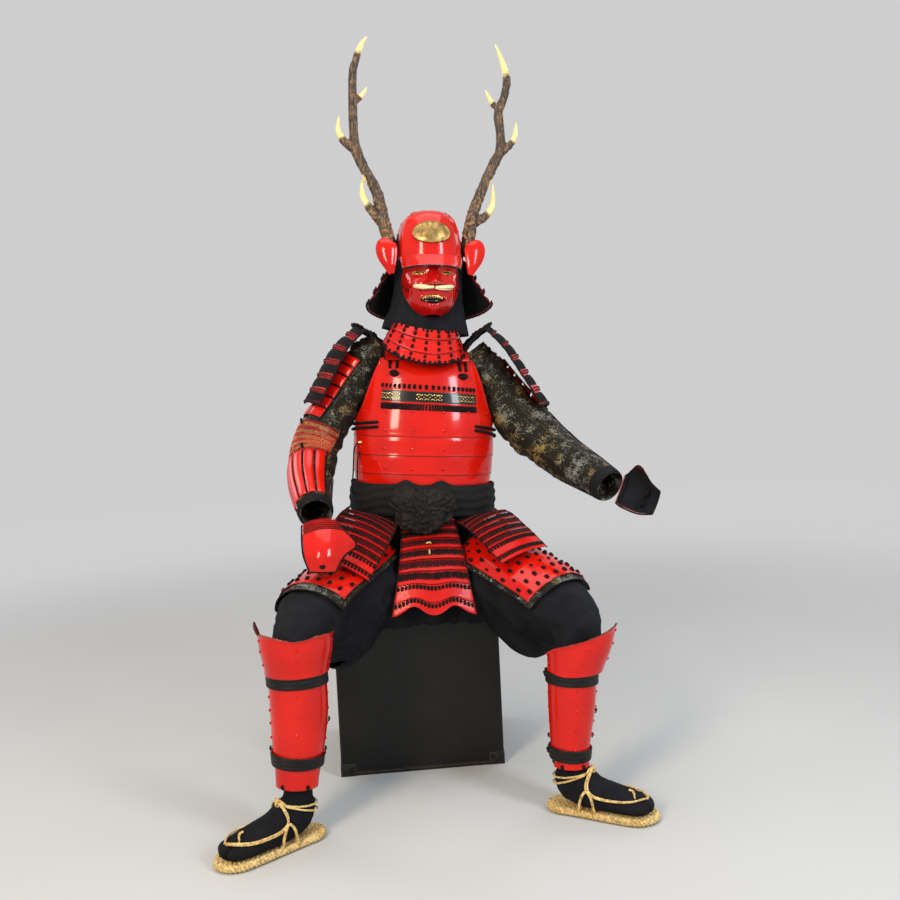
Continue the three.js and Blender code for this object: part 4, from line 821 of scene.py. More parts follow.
SIDE_CORD = 4
SIDE_CORD_ROUTE = [
    (-124.5, -152, 882), (-131, -154, 879), (-137, -154, 870), (-140, -153, 855), (-142, -152, 830),
    (-145, -151, 800),
    (-148, -150, 772), (-149.5, -150, 758), (-146, -150, 748), (-140, -150, 747), (-136, -150, 755),
        (-135, -150, 772),
    (-134, -151, 800), (-132, -152, 826), (-129, -153, 846), (-124, -153, 858),
]


def side_cord():
    path = smooth_path(SIDE_CORD_ROUTE, 150)
    cord = Form().rod(path, SIDE_CORD / 2 * 1.05, sides=14, twist=11, lobes=4, depth=0.22)
    cord = cord.piece("side_cord_silk", LACING, "side_cord")


camera()
studio()
side_cord()


# ---- what repeats: rivets, stitches, mail


class Tree:
    """A Geometry Nodes tree that sets one shape at many places. Its sizes are named inputs."""

    def __init__(self, name, shape, **sizes):
        self.tree = bpy.data.node_groups.new(name, "GeometryNodeTree")
        self.sockets = {}
        for label, kind in [("Places", "Geometry"), *[(s, "Float") for s in sizes], ("Seed", "Int"),
            ("Finish", "Material")]:
            self.sockets[label] = self.tree.interface.new_socket(label, in_out="INPUT",
                socket_type="NodeSocket" + kind)
        for label, value in sizes.items():
            self.sockets[label].default_value = value * MM
        self.tree.interface.new_socket("Pieces", in_out="OUTPUT", socket_type="NodeSocketGeometry")
        self.given = self.tree.nodes.new("NodeGroupInput").outputs
        named = lambda what: self.node("GeometryNodeInputNamedAttribute", {"data_type": "FLOAT_VECTOR"},
            {"Name": what})
        up = self.node("FunctionNodeAlignRotationToVector", {"axis": "Z"}, {"Vector": named("facing")})
        turned = self.node("FunctionNodeAlignRotationToVector", {"axis": "Y", "pivot_axis": "Z"},
            {"Rotation": up, "Vector": named("running")})
        vary = self.node("FunctionNodeRandomValue", {"data_type": "FLOAT"},
            {"Min": 0.93, "Max": 1.07, "Seed": self.given["Seed"]})
        scale = self.node("ShaderNodeVectorMath", {"operation": "SCALE"}, {0: named("size"), "Scale": vary})
        set_down = self.node("GeometryNodeInstanceOnPoints", (),
            {"Points": self.given["Places"], "Instance": shape(self), "Rotation": turned, "Scale": scale})
        real = self.node("GeometryNodeRealizeInstances", (), {"Geometry": set_down})
        soft = self.node("GeometryNodeSetShadeSmooth", (), {"Geometry": real})
        done = self.node("GeometryNodeSetMaterial", (), {"Geometry": soft, "Material": self.given["Finish"]})
        self.tree.links.new(done, self.tree.nodes.new("NodeGroupOutput").inputs[0])

    def node(self, kind, settings=(), inputs=()):
        return next(s for s in add_node(self.tree, kind, settings, inputs).outputs if s.enabled)

    def xyz(self, x=0, y=0, z=0):
        return self.node("ShaderNodeCombineXYZ", (), {"X": x, "Y": y, "Z": z})

    def times(self, value, by):
        return self.node("ShaderNodeMath", {"operation": "MULTIPLY"}, {0: value, 1: by})


def rivet_head(t):
    ball = t.node("GeometryNodeMeshUVSphere", (), {"Segments": 7, "Rings": 4, "Radius": t.given["Radius"]})
    return t.node("GeometryNodeTransform", (), {"Geometry": ball, "Scale": (1, 1, 0.55)})


def stitch(t):
    """One pass of flat lace: up through a hole, along Y, and down through the next."""
    half, down = t.times(t.given["Length"], 0.5), t.times(t.given["Depth"], -1)
    line = t.node("GeometryNodeCurveQuadraticBezier", (), {
        "Resolution": 4, "Start": t.xyz(0, t.times(half, -1), down),
        "Middle": t.xyz(0, 0, t.times(t.given["Rise"], 2)), "End": t.xyz(0, half, down)})
    round_ = t.node("GeometryNodeCurvePrimitiveCircle", {"mode": "RADIUS"},
        {"Resolution": 5, "Radius": t.times(t.given["Thick"], 0.5)})
    lace = t.node("GeometryNodeCurveToMesh", (), {"Curve": line, "Profile Curve": round_, "Fill Caps": True})
    return t.node("GeometryNodeTransform", (), {"Geometry": lace, "Scale": (1.5, 1, 1)})


def mail_ring(t):
    path = t.node("GeometryNodeCurvePrimitiveCircle", {"mode": "RADIUS"},
        {"Resolution": 7, "Radius": t.given["Radius"]})
    wire = t.node("GeometryNodeCurvePrimitiveCircle", {"mode": "RADIUS"},
        {"Resolution": 3, "Radius": t.given["Wire"]})
    return t.node("GeometryNodeCurveToMesh", (), {"Curve": path, "Profile Curve": wire})


RIVETS = Tree("rivets", rivet_head, Radius=2.2)
STITCHES = Tree("stitches", stitch, Length=12, Rise=1, Depth=0.8, Thick=2.4)
MAIL = Tree("mail", mail_ring, Radius=3.4, Wire=0.55)


class Places:
    """Where a repeated shape goes: each point, the way it faces and runs, and its size."""

    def __init__(self, place=WORLD):
        self.place, self.rows = place, []

    def on(self, surface, u, t, out=0, size=(1, 1, 1), turn=0):
        """Places on surface(u, t, out), running along t, or turned from that towards u."""
        u, t = (np.ravel(q).astype(float) for q in np.broadcast_arrays(u, t))
        at = surface(u, t, out)
        facing = unit(surface(u, t, out + 1) - at)
        running = unit(surface(u, np.clip(t + 0.004, 0, 1), out) - surface(u, np.clip(t - 0.004, 0, 1), out))
        facing = unit(facing - running * (facing * running).sum(-1, keepdims=True))
        angle = np.radians(np.broadcast_to(turn, u.shape))[:, None]
        running = running * np.cos(angle) + np.cross(facing, running) * np.sin(angle)
        return self.put(at, facing, running, size)

    def put(self, at, facing, running, size=(1, 1, 1)):
        at = np.atleast_2d(at).astype(float)
        turn = self.place[:3, :3]
        wide = lambda v: np.broadcast_to(v, at.shape).astype(float)
        self.rows.append(joined([placed(at, self.place) * MM, wide(facing) @ turn.T, wide(running) @ turn.T,
            wide(size)], axis=1))
        return self

    def laced(self, name, length, rise, depth, thick, silk=None, seed=1):
        """A stitch of silk at each place."""
        return self.piece(name, STITCHES, silk or LACING, seed=seed, Length=length, Rise=rise, Depth=depth,
            Thick=thick)

    def piece(self, name, tree, finish, slot=None, seed=1, **sizes):
        rows = joined(self.rows)
        carrier = bpy.data.meshes.new(name + "_places")
        carrier.from_pydata(rows[:, :3].tolist(), [], [])
        for k, what in enumerate(("facing", "running", "size")):
            values = np.ascontiguousarray(rows[:, 3 + 3 * k : 6 + 3 * k], dtype=np.float32)
            carrier.attributes.new(what, "FLOAT_VECTOR", "POINT").data.foreach_set("vector", values.ravel())
        holder = in_scene(name + "_places", carrier)
        nodes = holder.modifiers.new("repeat", "NODES")
        nodes.node_group = tree.tree
        nodes[tree.sockets["Seed"].identifier] = seed
        nodes[tree.sockets["Finish"].identifier] = finish
        for label, value in sizes.items():
            nodes[tree.sockets[label].identifier] = value * MM
        made = as_mesh(holder)
        holder.modifiers.remove(nodes)
        bpy.data.objects.remove(holder)
        return show(name, made, finish, slot=slot, crisp=0)


def remeshed(form, voxel):
    """The outer skin of a form's overlapping shells: (points in millimetres, quads)."""
    obj = form.piece("raw_shells", COTTON)
    shrink = obj.modifiers.new("voxels", "REMESH")
    shrink.mode, shrink.voxel_size = "VOXEL", voxel * MM
    mesh = as_mesh(obj)
    bpy.data.objects.remove(obj)
    points = np.zeros(len(mesh.vertices) * 3)
    mesh.vertices.foreach_get("co", points)
    faces = np.zeros(len(mesh.loops), int)
    mesh.loops.foreach_get("vertex_index", faces)
    bpy.data.meshes.remove(mesh)
    return points.reshape(-1, 3) / MM, faces.reshape(-1, 4)


def relaxed(points, faces, rounds, share=0.5):
    """Points evened out over their neighbours, without shrinking much."""
    edges = np.unique(np.sort(joined([faces[:, [0, 1]], faces[:, [1, 2]], faces[:, [2, 3]],
        faces[:, [3, 0]]]), axis=1), axis=0)
    count = np.bincount(edges.ravel(), minlength=len(points))[:, None]
    for step in range(rounds):
        total = np.zeros_like(points)
        np.add.at(total, edges[:, 0], points[edges[:, 1]])
        np.add.at(total, edges[:, 1], points[edges[:, 0]])
        points = points + (share if step % 2 == 0 else -share * 1.04) * (total / np.maximum(count, 1)
            - points)
    return points


def normals_of(points, faces):
    across = np.cross(points[faces[:, 2]] - points[faces[:, 0]], points[faces[:, 3]] - points[faces[:, 1]])
    total = np.zeros_like(points)
    for k in range(4):
        np.add.at(total, faces[:, k], across)
    return unit(total)


def skin_of(name, points, faces, finish, replaces, uv=None, place=WORLD, **marks):
    """A piece from the points that its faces use, with marks on them for its finish."""
    used, again = np.unique(faces, return_inverse=True)
    form = Form(place).add(points[used], again.reshape(-1, 4), None
        if uv is None else uv.reshape(-1, 2)[used])
    obj = form.piece(name, finish, replaces, crisp=0)
    for mark, values in marks.items():
        obj.data.attributes.new(mark, "FLOAT", "POINT").data.foreach_set("value", values[used])
    return obj


def inside_out(points):
    """Whether a grid of points round a tube faces inwards."""
    row = len(points) // 2
    a, b, c = points[row], np.roll(points[row], -1, 0), points[row + 1]
    return float((np.cross(b - a, c - a) * (a - a.mean(0))).sum()) < 0


def thickened(obj, thick, grid=None):
    """An open skin given a cloth's thickness inwards. grid is its points, where they may face inwards."""
    wall = obj.modifiers.new("thickness", "SOLIDIFY")
    wall.thickness, wall.offset = thick * MM, 1 if grid is not None and inside_out(grid) else -1
    return obj


def round_grid(rows, cols):
    """Places down a tube and angles round it, to be combined into a grid."""
    return spaced(0, 1, rows)[:, None], spaced(0, 360, cols, endpoint=False)[None, :]


def laid_out(rows, cols, wide, long_, wrap=True):
    """The flat cloth of a grid, in metres."""
    return np.stack(np.meshgrid(spaced(0, wide, cols, endpoint=not wrap), spaced(0, long_, rows)), -1)


def cloth_tube(name, points, flat, finish, replaces=(), thick=2, place=WORLD):
    """An open tube of cloth from its grid of points. flat is its width and length laid out, in metres."""
    rows, cols = points.shape[:2]
    faces = grid_faces(rows, cols, True)
    obj = skin_of(name, points.reshape(-1, 3), faces, finish, replaces, laid_out(rows, cols, *flat), place)
    return thickened(obj, thick, points)


def rolled(a, t, radius, length, stretch):
    """Points of a plain tube, stretched, for noise that runs round it without a seam."""
    a, t = np.broadcast_arrays(np.radians(a), t)
    return np.stack([radius * np.cos(a), radius * np.sin(a), length * t], -1) * np.array(stretch)


# ---- storage chest

CHEST_SIZE = {"width": 436, "depth": 380, "height": 450, "lid": 52, "board": 9}
GAP = 0.4


def slab(form, low, high, radius=1.2):
    """A board with rounded edges."""
    low, high = np.array(low, float), np.array(high, float)
    lines = []
    for a, b in zip(low, high):
        steps = [s for s in (0, radius, 5, 14) if s < (b - a) / 2]
        inner = spaced(a + steps[-1], b - steps[-1], 3)[1:-1]
        lines.append(joined([a + np.array(steps), inner, b - np.array(steps)[::-1]]))
    for axis in range(3):
        i, j = [k for k in range(3) if k != axis]
        A, B = np.meshgrid(lines[i], lines[j])
        for end in (low, high):
            p = np.zeros((*A.shape, 3))
            p[..., axis], p[..., i], p[..., j] = end[axis], A, B
            core = np.clip(p, low + radius, high - radius)
            away = np.minimum(np.minimum(A - low[i], high[i] - A), np.minimum(B - low[j], high[j] - B))
            out = np.sign(end[axis] - (low + high)[axis] / 2)
            flip = (out > 0) == (axis == 1)
            form.add(core + radius * unit(p - core), grid_faces(*A.shape), rim=np.clip(1 - away / 9, 0, 1),
                flip=flip)


def chest():
    size = CHEST_SIZE
    w, d, b = size["width"] / 2, size["depth"] / 2, size["board"]
    split, top = size["height"] - size["lid"], size["height"]
    body, lid, irons, nails = Form(), Form(), Form(), Places()
    slab(body, (-w, -d, 0), (w, d, b))
    slab(lid, (-w, -d, top - b), (w, d, top))
    for form, z0, z1 in ((body, b, split - GAP), (lid, split, top - b)):
        for sign in (-1, 1):
            slab(form, (-w, sign * d - (b if sign > 0 else 0), z0),
                (w, sign * d + (b if sign < 0 else 0), z1))
            slab(form, (sign * w - (b if sign > 0 else 0), -d + b, z0),
                (sign * w + (b if sign < 0 else 0), d - b, z1))
    # black iron corner pieces, nailed on, at the foot of the body and round the lid
    for sx in (-1, 1):
        for sy in (-1, 1):
            for z0, z1, reach in ((0, 34, 40), (split + 3, top, 34)):
                x0, x1 = sorted((sx * (w + 1.2), sx * (w - reach)))
                y0, y1 = sorted((sy * (d + 1.2), sy * (d - 0.2)))
                slab(irons, (x0, y0, z0), (x1, y1, z1), 0.5)
                y0, y1 = sorted((sy * (d + 1.2), sy * (d - reach)))
                x0, x1 = sorted((sx * (w + 1.2), sx * (w - 0.2)))
                slab(irons, (x0, y0, z0), (x1, y1, z1), 0.5)
                for z in (z0 + 9, z1 - 9):
                    nails.put((sx * (w - reach + 9), sy * (d + 1.2), z), (0, sy, 0), (0, 0, 1))
                    nails.put((sx * (w + 1.2), sy * (d - reach + 9), z), (sx, 0, 0), (0, 0, 1))
    body.piece("chest_body_boards", CHEST, "chest_body")
    lid.piece("chest_lid_boards", CHEST, "chest_lid")
    irons.piece("chest_corner_irons", IRON, slot="chest_lacquer")
    nails.piece("chest_nails", RIVETS, IRON, "chest_lacquer", Radius=2)


# ---- trousers

CROTCH = np.array([36, -120, 545])
LEG = {name: tube(tab) for name, tab in TROUSER_LEG.items()}


def filled(form, surface, rows=60, sides=40):
    """A closed body inside a tube, with flat ends."""
    t, angle = round_grid(rows, sides)
    grid = surface(angle, t)
    return form.capped(grid, np.stack([grid[0].mean(0), grid[-1].mean(0)]))


def nearest_on(tab, points):
    """How far along a table's path each point is, and how far from the path."""
    t = spaced(0, 1, 61)
    path = centre_at(tab, t)
    away = np.linalg.norm(points[:, None] - path[None], axis=-1)
    return t[away.argmin(1)], away.min(1)


def trousers():
    skins = Form()
    for surface in (*LEG.values(), tube(SEAT), tube(LAP, side=(0, 1, 0))):
        filled(skins, surface)
    points, faces = remeshed(skins, 8.8)
    points = relaxed(points, faces, 10)
    out = normals_of(points, faces)
    # folds run out from the crotch along the thighs, deepest underneath and between them
    away = points - CROTCH
    far = np.linalg.norm(away, axis=1)
    ray = away / far[:, None]
    wander = np.stack([rough(points, 160, 3), rough(points, 160, 9), rough(points, 160, 17)], -1)
    fine = rough((ray + wander * 0.1) * 7.5 + (far / 900)[:, None], 1, 5, 1)
    broad = rough((ray + wander * 0.12) * 3.6 + (far / 700)[:, None], 1, 21, 1)
    ridge = lambda n: (1 - np.minimum(np.abs(n) * 2.1, 1)) ** 1.6
    # how loose the cloth is: taut on top of the thighs and on the chest, loose below, in front and at the knees
    under = smooth(-out[:, 2], -0.55, 0.5)
    lap = smooth(-points[:, 1], 195, 250)
    low = np.minimum(smooth(points[:, 2], 330, 385), 1)
    loose = (0.42 + 0.58 * under) * (0.4 + 0.6 * lap) * (0.4 + 0.6 * low)
    depth = loose * (13 * (1 - ridge(broad)) + 7.5 * (1 - ridge(fine)))
    # gathers above each hem, and creases across the knee
    for name, tab in TROUSER_LEG.items():
        t, gone = nearest_on(tab, points)
        near = (gone < 150) & ((points[:, 0] < 32) == (name == "right"))
        c = points - centre_at(tab, t)
        around = np.degrees(np.arctan2(c[:, 0], -c[:, 1] + 1e-9))
        gather = 0.5 - 0.5 * np.cos(np.radians(around * 13 + 40 * rough(points, 60, 2)))
        depth += np.where(near, smooth(t, 0.78, 0.9) * gather * 3.2, 0)
        knee = rough(np.stack([around / 40, t * 26, 0 * t], -1), 1, 31, 1)
        depth += np.where(near, bump(t, 0.72, 0.12) * (1 - ridge(knee)) * 4
            * (1 - 0.5 * smooth(out[:, 2], 0.2, 0.9)), 0)
    points = points - out * (depth - 0.8)[:, None]
    points = relaxed(points, faces, 2, 0.3)
    # it lies on the lid and hangs down before the chest
    size = CHEST_SIZE
    w, d, top = size["width"] / 2 + 2.4, size["depth"] / 2 + 2.4, size["height"] + 2.4
    inside = (np.abs(points[:, 0]) < w) & (np.abs(points[:, 1]) < d) & (points[:, 2] < top)
    to_top, to_front = top - points[:, 2], points[:, 1] + d
    lift = inside & (to_top <= to_front)
    points[lift, 2] = top
    points[inside & ~lift, 1] = -d
    # open at the waist and the hems
    open_ = np.zeros(len(points), bool)
    for tab, end, inner in ((SEAT, 0, -1), (TROUSER_LEG["right"], 1, 1), (TROUSER_LEG["left"], 1, 1)):
        middle, along = centre_at(tab, end), along_at(tab, end)
        beyond = (points - middle) @ along * inner
        open_ |= (beyond > -4.5) & (np.linalg.norm(points - middle, axis=1) < 190)
    faces = faces[~open_[faces].all(axis=1)]
    nodes = [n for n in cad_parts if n.startswith("trouser_")]
    obj = thickened(skin_of("trousers", points, faces, COTTON, nodes), 2)


# ---- plates, laces and cords on a surface


def whole(surface, place=WORLD):
    """A surface in millimetres of the world, from one in a part's own frame."""
    return lambda u, t, out=0: placed(surface(u, t, out), place)


def lames(form, surface, edges, across=(0, 1, 24), thick=1.6, rise=2.4, tuck=0.012, out=0, rows=3, lip=0.8):
    """Plates one below another, each with its rolled foot standing over the top of the next."""
    for a, b in zip(edges[:-1], edges[1:]):
        s = np.append(spaced(a - tuck, b - 0.16 * (b - a), rows), b - np.array([0.1, 0.05, 0]) * (b - a))
        stand = lambda u, t, a=a, b=b: out + rise * (t - a) / (b - a) + lip * bump(t, b, 0.09 * (b - a))
        form.wall(surface, across, s, thick, stand)
    return form


def run(u, t, out, steps):
    """Steps (u, t, out) along a surface, where u or t may be (from, to)."""
    u, t = (spaced(*q, steps) if isinstance(q, tuple) else np.full(steps, q) for q in (u, t))
    return [(*place, out) for place in zip(u, t)]


def on_surface(surface, points, steps):
    """A smooth path over a surface, through points (u, t, out)."""
    return surface(*smooth_path(points, steps).T)


def laced_cord(form, path, thick=2.6, twist=9, flat=1):
    return form.rod(path, thick, sides=7, twist=twist, lobes=2, depth=0.3, flat=flat)


def knot_on(form, surface, u, t, out, size, running=(0, 0, 1)):
    """A knot on a surface. running is a direction, or a step (u, t) that it runs along."""
    at = surface(u, t, out)
    if len(running) == 2:
        running = surface(u + running[0], t + running[1], out) - at
    knot(form, at, surface(u, t, out + 1) - at, running, size)


def knot(form, at, facing, running, size=6):
    """A small tied knot: a turn of cord over another, in an oval."""
    at, facing, running = np.array(at, float), unit(np.array(facing, float)), unit(np.array(running, float))
    side = np.cross(facing, running)
    a = spaced(0, 2 * np.pi, 16, endpoint=False)[:, None]
    loop = at + running * (np.cos(a) * size * 1.25) + side * (np.sin(a) * size * 0.75) + facing * (size
        * 0.35 + 0.2 * size * np.sin(2 * a))
    form.rod(loop, size * 0.42, sides=7, twist=size * 1.6, lobes=4, depth=0.2, closed=True)
    s = spaced(-1, 1, 7)[:, None]
    over = at + side * (s * size * 0.9) + facing * (size * (0.95 - 0.7 * s**2)) + running * (s * size * 0.15)
    form.rod(over, size * 0.46, sides=7, twist=size * 1.6, lobes=4, depth=0.2)


# ---- cuirass

LAME_EDGES = (194, 144, 95, 40)
CUIRASS_SKIN = tube(CUIRASS, power=2.2)
STRAP_SKIN = {"right": strip(STRAP), "left": strip(mirrored(STRAP))}


def cuirass():
    tops = [place_of(CUIRASS, "z", z) for z in LAME_EDGES]
    reach = lambda column: lambda t: np.minimum(row_at(CUIRASS, t)[column], 89.8)
    beads = Form(TORSO)
    for name, column, middle in (("front", "reachFront", 0), ("back", "reachBack", 180)):
        far = reach(column)
        plate = part_of(CUIRASS_SKIN, lambda t: middle - far(t), lambda t: middle + far(t))
        form = Form(TORSO)
        n = 50 if name == "front" else 36
        form.wall(plate, (0, 1, n), (0, tops[0] + 0.004, 26), 2.4, lambda u, t: 0.9 * bump(t, tops[0], 0.012))
        lames(form, plate, tops, (0, 1, n), thick=2, rise=1.4, rows=3, lip=0.9)
        form.piece(f"cuirass_{name}_plates", RED, f"cuirass_{name}")
        # a rolled bead along the neck and the arm openings
        low, sunk = 0.56, -0.6
        edge = run(0, (low, 0.01), sunk, 9) + run((0.03, 0.97), 0.006, sunk, 11) + run(1, (0.01, low),
            sunk, 9)
        beads.rod(on_surface(plate, edge, 120), 2.6, sides=7)
    beads.piece("cuirass_beads", RED)

    rivets = Places(TORSO)
    for t in (0.448, 0.636, 0.776, 0.874, 0.962):
        rivets.on(CUIRASS_SKIN, np.array([-62, -33, -10, 11.5, 34, 62]), t, 1.5)
        rivets.on(CUIRASS_SKIN, 180 + np.array([-60, -30, 0, 30, 60]), t, 1.5)
    rivets.piece("cuirass_rivets", RIVETS, RED, Radius=4.2)

    droop = lambda angle: 0.0003 * (angle + 40)
    dots, angle = Places(TORSO), spaced(-40, 43, 20)
    dots.on(CUIRASS_SKIN, angle, 0.236 + droop(angle), 0.2, turn=0)
    dots.laced("chest_lacing", 9, 2.4, 0.4, 5.6)
    fine, angle = Places(TORSO), spaced(-38.5, 43, 44)
    for t in (0.386, 0.41):
        fine.on(CUIRASS_SKIN, angle, t + droop(angle), 0.9, turn=0)
    fine.laced("chest_hem_lacing", 7.6, 2, 0.4, 3.6)
    strip_ = Form(TORSO)
    band = lambda u, t, out=0: CUIRASS_SKIN(-40 + 84.5 * u, 0.268 + 0.088 * t + droop(-40 + 84.5 * u), out)
    strip_.wall(band, (0, 1, 60), (0, 1, 8), 1.6, 1.7)
    strip_.piece("chest_band", BLACK)
    lines = Form(TORSO)
    for t in (-0.13, 1.13):
        lines.rod(on_surface(band, run((0, 1), t, 0.7, 12), 60), 1.15, sides=6)
    lines.piece("chest_band_beads", RED)
    # three groups of gilt leaves on the band
    leaves, buds = Places(TORSO), Places(TORSO)
    for middle in (0.11, 0.49, 0.87):
        for k in range(-2, 3):
            u = middle + 0.044 * k
            buds.on(band, u, 0.5, 1.8, size=(1, 1, 0.7))
            for turn, du, dt in ((-48, -0.013, -0.2), (48, 0.013, -0.2), (48, -0.013, 0.2),
                (-48, 0.013, 0.2)):
                leaves.on(band, u + du, 0.5 + dt, 1.8, size=(0.75, 2, 0.5), turn=turn)
    leaves.piece("chest_band_leaves", RIVETS, GILT, Radius=2.1)
    buds.piece("chest_band_buds", RIVETS, GILT, Radius=2)

    ties, knots = Form(TORSO), Form(TORSO)
    for (a0, t0), (a1, t1) in (((-40.5, 0.55), (-88, 0.583)), ((-40, 0.6), (-88, 0.65)),
        ((41, 0.575), (88, 0.63)), ((40.5, 0.625), (88, 0.7))):
        path = on_surface(CUIRASS_SKIN,
            [(a0 + (a1 - a0) * f, t0 + (t1 - t0) * f, 1.8 + 0.7 * math.sin(9 * f))
            for f in spaced(0, 1, 7)], 60)
        laced_cord(ties, path, 6.6, 14, 0.7)
    for cords, (a, t) in (((-34.5, -26.5), (-28, 0.146)), ((28.5, 36), (30.5, 0.162))):
        for c in cords:
            path = on_surface(CUIRASS_SKIN,
                [(c, 0, -2), (c, 0.006, 3.4), (c, 0.05, 2.6), (c + 0.12 * (a - c), t - 0.045, 2.4)], 26)
            laced_cord(ties, path, 4.6, 12)
        knot_on(knots, CUIRASS_SKIN, a, t, 2, 8.4, (1, 0, -0.12))
    ties.piece("cuirass_ties", LACING)
    knots.piece("cuirass_knots", LACING)
    # shoulder straps, edged with cord, and the toggle beside the side cord
    straps, piping = Form(TORSO), Form(TORSO)
    for surface in STRAP_SKIN.values():
        straps.wall(surface, (-1, 1, 8), (0.13, 1, 30), 4, lambda u, t: 1.4 * (1 - u * u))
        for u in (-1, 1):
            laced_cord(piping, on_surface(surface, run(u, (0.13, 1), -1.6, 14), 80), 2.5, 8)
    straps.piece("shoulder_straps", RED)
    piping.piece("shoulder_strap_piping", LACING)
    toggle = Form()
    path = np.array([(-110, -146, 886), (-116, -149.5, 884.5), (-122, -151.6, 883),
        (-126, -152.4, 881.5)], float)
    toggle.rod(smooth_path(path, 10), [3.8, 4.3, 4.3, 4, 3.9, 3.9, 4, 4.3, 4.5, 4.1, 3.1], sides=14)
    toggle.piece("side_cord_ferrule", GILT)


# ---- throat guard

THROAT_CONE = tube(THROAT)


def throat_guard():
    fuller = lambda a, t: 9 * smooth(np.abs(a), 15, 62) * (0.3 + 0.7 * t)
    skin = lambda a, t, out=0: THROAT_CONE(a, t * (1 - 0.28 * (a / 62) ** 2), out + fuller(a, t))
    plate = part_of(skin, -62, 62)
    form = lames(Form(TORSO), plate, [0.005, 0.335, 0.668, 1], (0, 1, 46), thick=2, rise=3.2, rows=3, lip=1)
    form.piece("throat_lames", RED, "throat_guard")
    laces, dots, rim = Places(TORSO), Places(TORSO), Form(TORSO)
    angles = spaced(-54, 54, 7)
    for k in range(3):
        for s in (0.26, 0.7):
            laces.on(skin, angles, (k + s) / 3, 3.2 * s + 1.6)
    laces.laced("throat_lacing", 7, 2.2, 0.4, 5.2)
    angle = spaced(-58, 58, 19)
    dots.on(skin, angle, 0.925, 4.6)
    dots.on(skin, angle[::2], 0.045, 2)
    dots.laced("throat_hem_lacing", 7, 2, 0.4, 4.4)
    for t, out, thick in ((1, 2.4, 3), (0, -0.6, 2.4)):
        laced_cord(rim, on_surface(skin, run((-62, 62), t, out, 15), 130), thick, 9)
    for a in (-62, 62):
        laced_cord(rim, on_surface(skin,
            [(a, t, 3.2 * (t * 3 % 1) - 0.6) for t in (0, 0.15, 0.32, 0.34, 0.5, 0.66, 0.68, 0.85, 1)],
            60), 2.3, 8)
    rim.piece("throat_rim", LACING)
    collar = Form(TORSO)
    collar.wall(part_of(skin, -61, 61), (0, 1, 30), (0, 0.97, 8), 1.2, lambda u,
        t: -3.4 + 1.6 * np.sin(9 * np.pi * u) * 0.3)
    cloth_ = collar.piece("throat_lining", COTTON)


# ---- sash

KNOT = {"x": -9, "y": -166, "z": 8, "half": 96, "deep": 28}


def sash():
    wound = tube(SASH, power=2.2)
    t, a = round_grid(24, 190)
    wander = rough(rolled(a, t, 150, 60, (1, 1, 0.3)), 90, 4)
    fold = np.abs((t * 4.2 + 0.55 * np.sin(np.radians(a) + 0.6) + wander * 0.7) % 1 - 0.5) * 2
    out = 3.2 * fold**1.4 + 1.5 * rough(rolled(a, t, 150, 60, (1, 1, 1)), 26, 8) + 3.5 * bump(t, 0.5, 0.5) - 1
    lump = bump((a + 180) % 360 - 180, -14, 5.5) + bump((a + 180) % 360 - 180, 10, 5.5)
    points = wound(a, t, out)
    points[..., 2] += 13 * lump * (1 - t) ** 3
    faces, flat = grid_faces(24, 190, True), laid_out(24, 190, 1.09, 0.084)
    obj = thickened(skin_of("sash_cloth", points.reshape(-1, 3), faces, SASH_CLOTH, "sash", flat, TORSO), 2.2)


def sash_knot():
    """The sash tied in front: two soft bows either side of a wrapped middle."""
    x, y, z = KNOT["x"], KNOT["y"], KNOT["z"]
    bulk = Form(TORSO)
    part = lambda columns: filled(bulk, tube(columns, side=(0, 0, 1)), 30, 30)
    part(table("x y z side front back", (x - 94, y + 14, z + 20, 12, 8, 12),
        (x - 74, y + 4, z + 24, 32, 20, 26), (x - 44, y, z + 22, 42, 25, 30),
        (x - 12, y + 2, z + 8, 26, 20, 26)))
    part(table("x y z side front back", (x - 6, y + 2, z + 6, 26, 20, 26), (x + 30, y, z + 17, 42, 25, 30),
        (x + 66, y + 4, z + 14, 33, 20, 26), (x + 94, y + 14, z + 8, 13, 8, 12)))
    part(table("x y z side front back", (x - 70, y + 6, z - 16, 18, 12, 20), (x - 36, y, z - 26, 30, 20, 26),
        (x + 2, y - 2, z - 30, 34, 22, 26), (x + 44, y + 2, z - 18, 28, 18, 24),
        (x + 76, y + 8, z - 4, 16, 12, 18)))
    filled(bulk, tube(table("x y z side front back", (x - 10, y + 6, z + 50, 20, 12, 20),
        (x - 8, y - 6, z + 30, 25, 22, 24), (x - 6, y - 12, z + 2, 27, 24, 24),
        (x - 2, y - 4, z - 30, 28, 22, 24))), 30, 30)
    points, faces = remeshed(bulk, 3.4)
    points = relaxed(points, faces, 8)
    out = normals_of(points, faces)
    centre = placed(np.array([[x - 6, y - 6, z + 4]]), TORSO)
    ray = unit(points - centre)
    crease = rough(ray * 3.4 + rough(points, 70, 5)[:, None] * 0.35, 1, 12, 2)
    weave = rough(points, 17, 3, 3)
    points = points - out * (7 * (1 - np.minimum(np.abs(crease) * 2.2, 1)) + 3 * weave)[:, None]
    points = relaxed(points, faces, 2, 0.35)
    obj = skin_of("sash_knot_cloth", points, faces, SASH_CLOTH, "sash_knot", bunch=np.ones(len(points)))


# ---- skirt

SKIRT_BANDS = {"front": (8, (0.105, 0.775), (0.885,)), "front_right": (8, (0.1, 0.79), (0.9,)),
    "front_left": (7, (0.1, 0.74), (0.875,))}


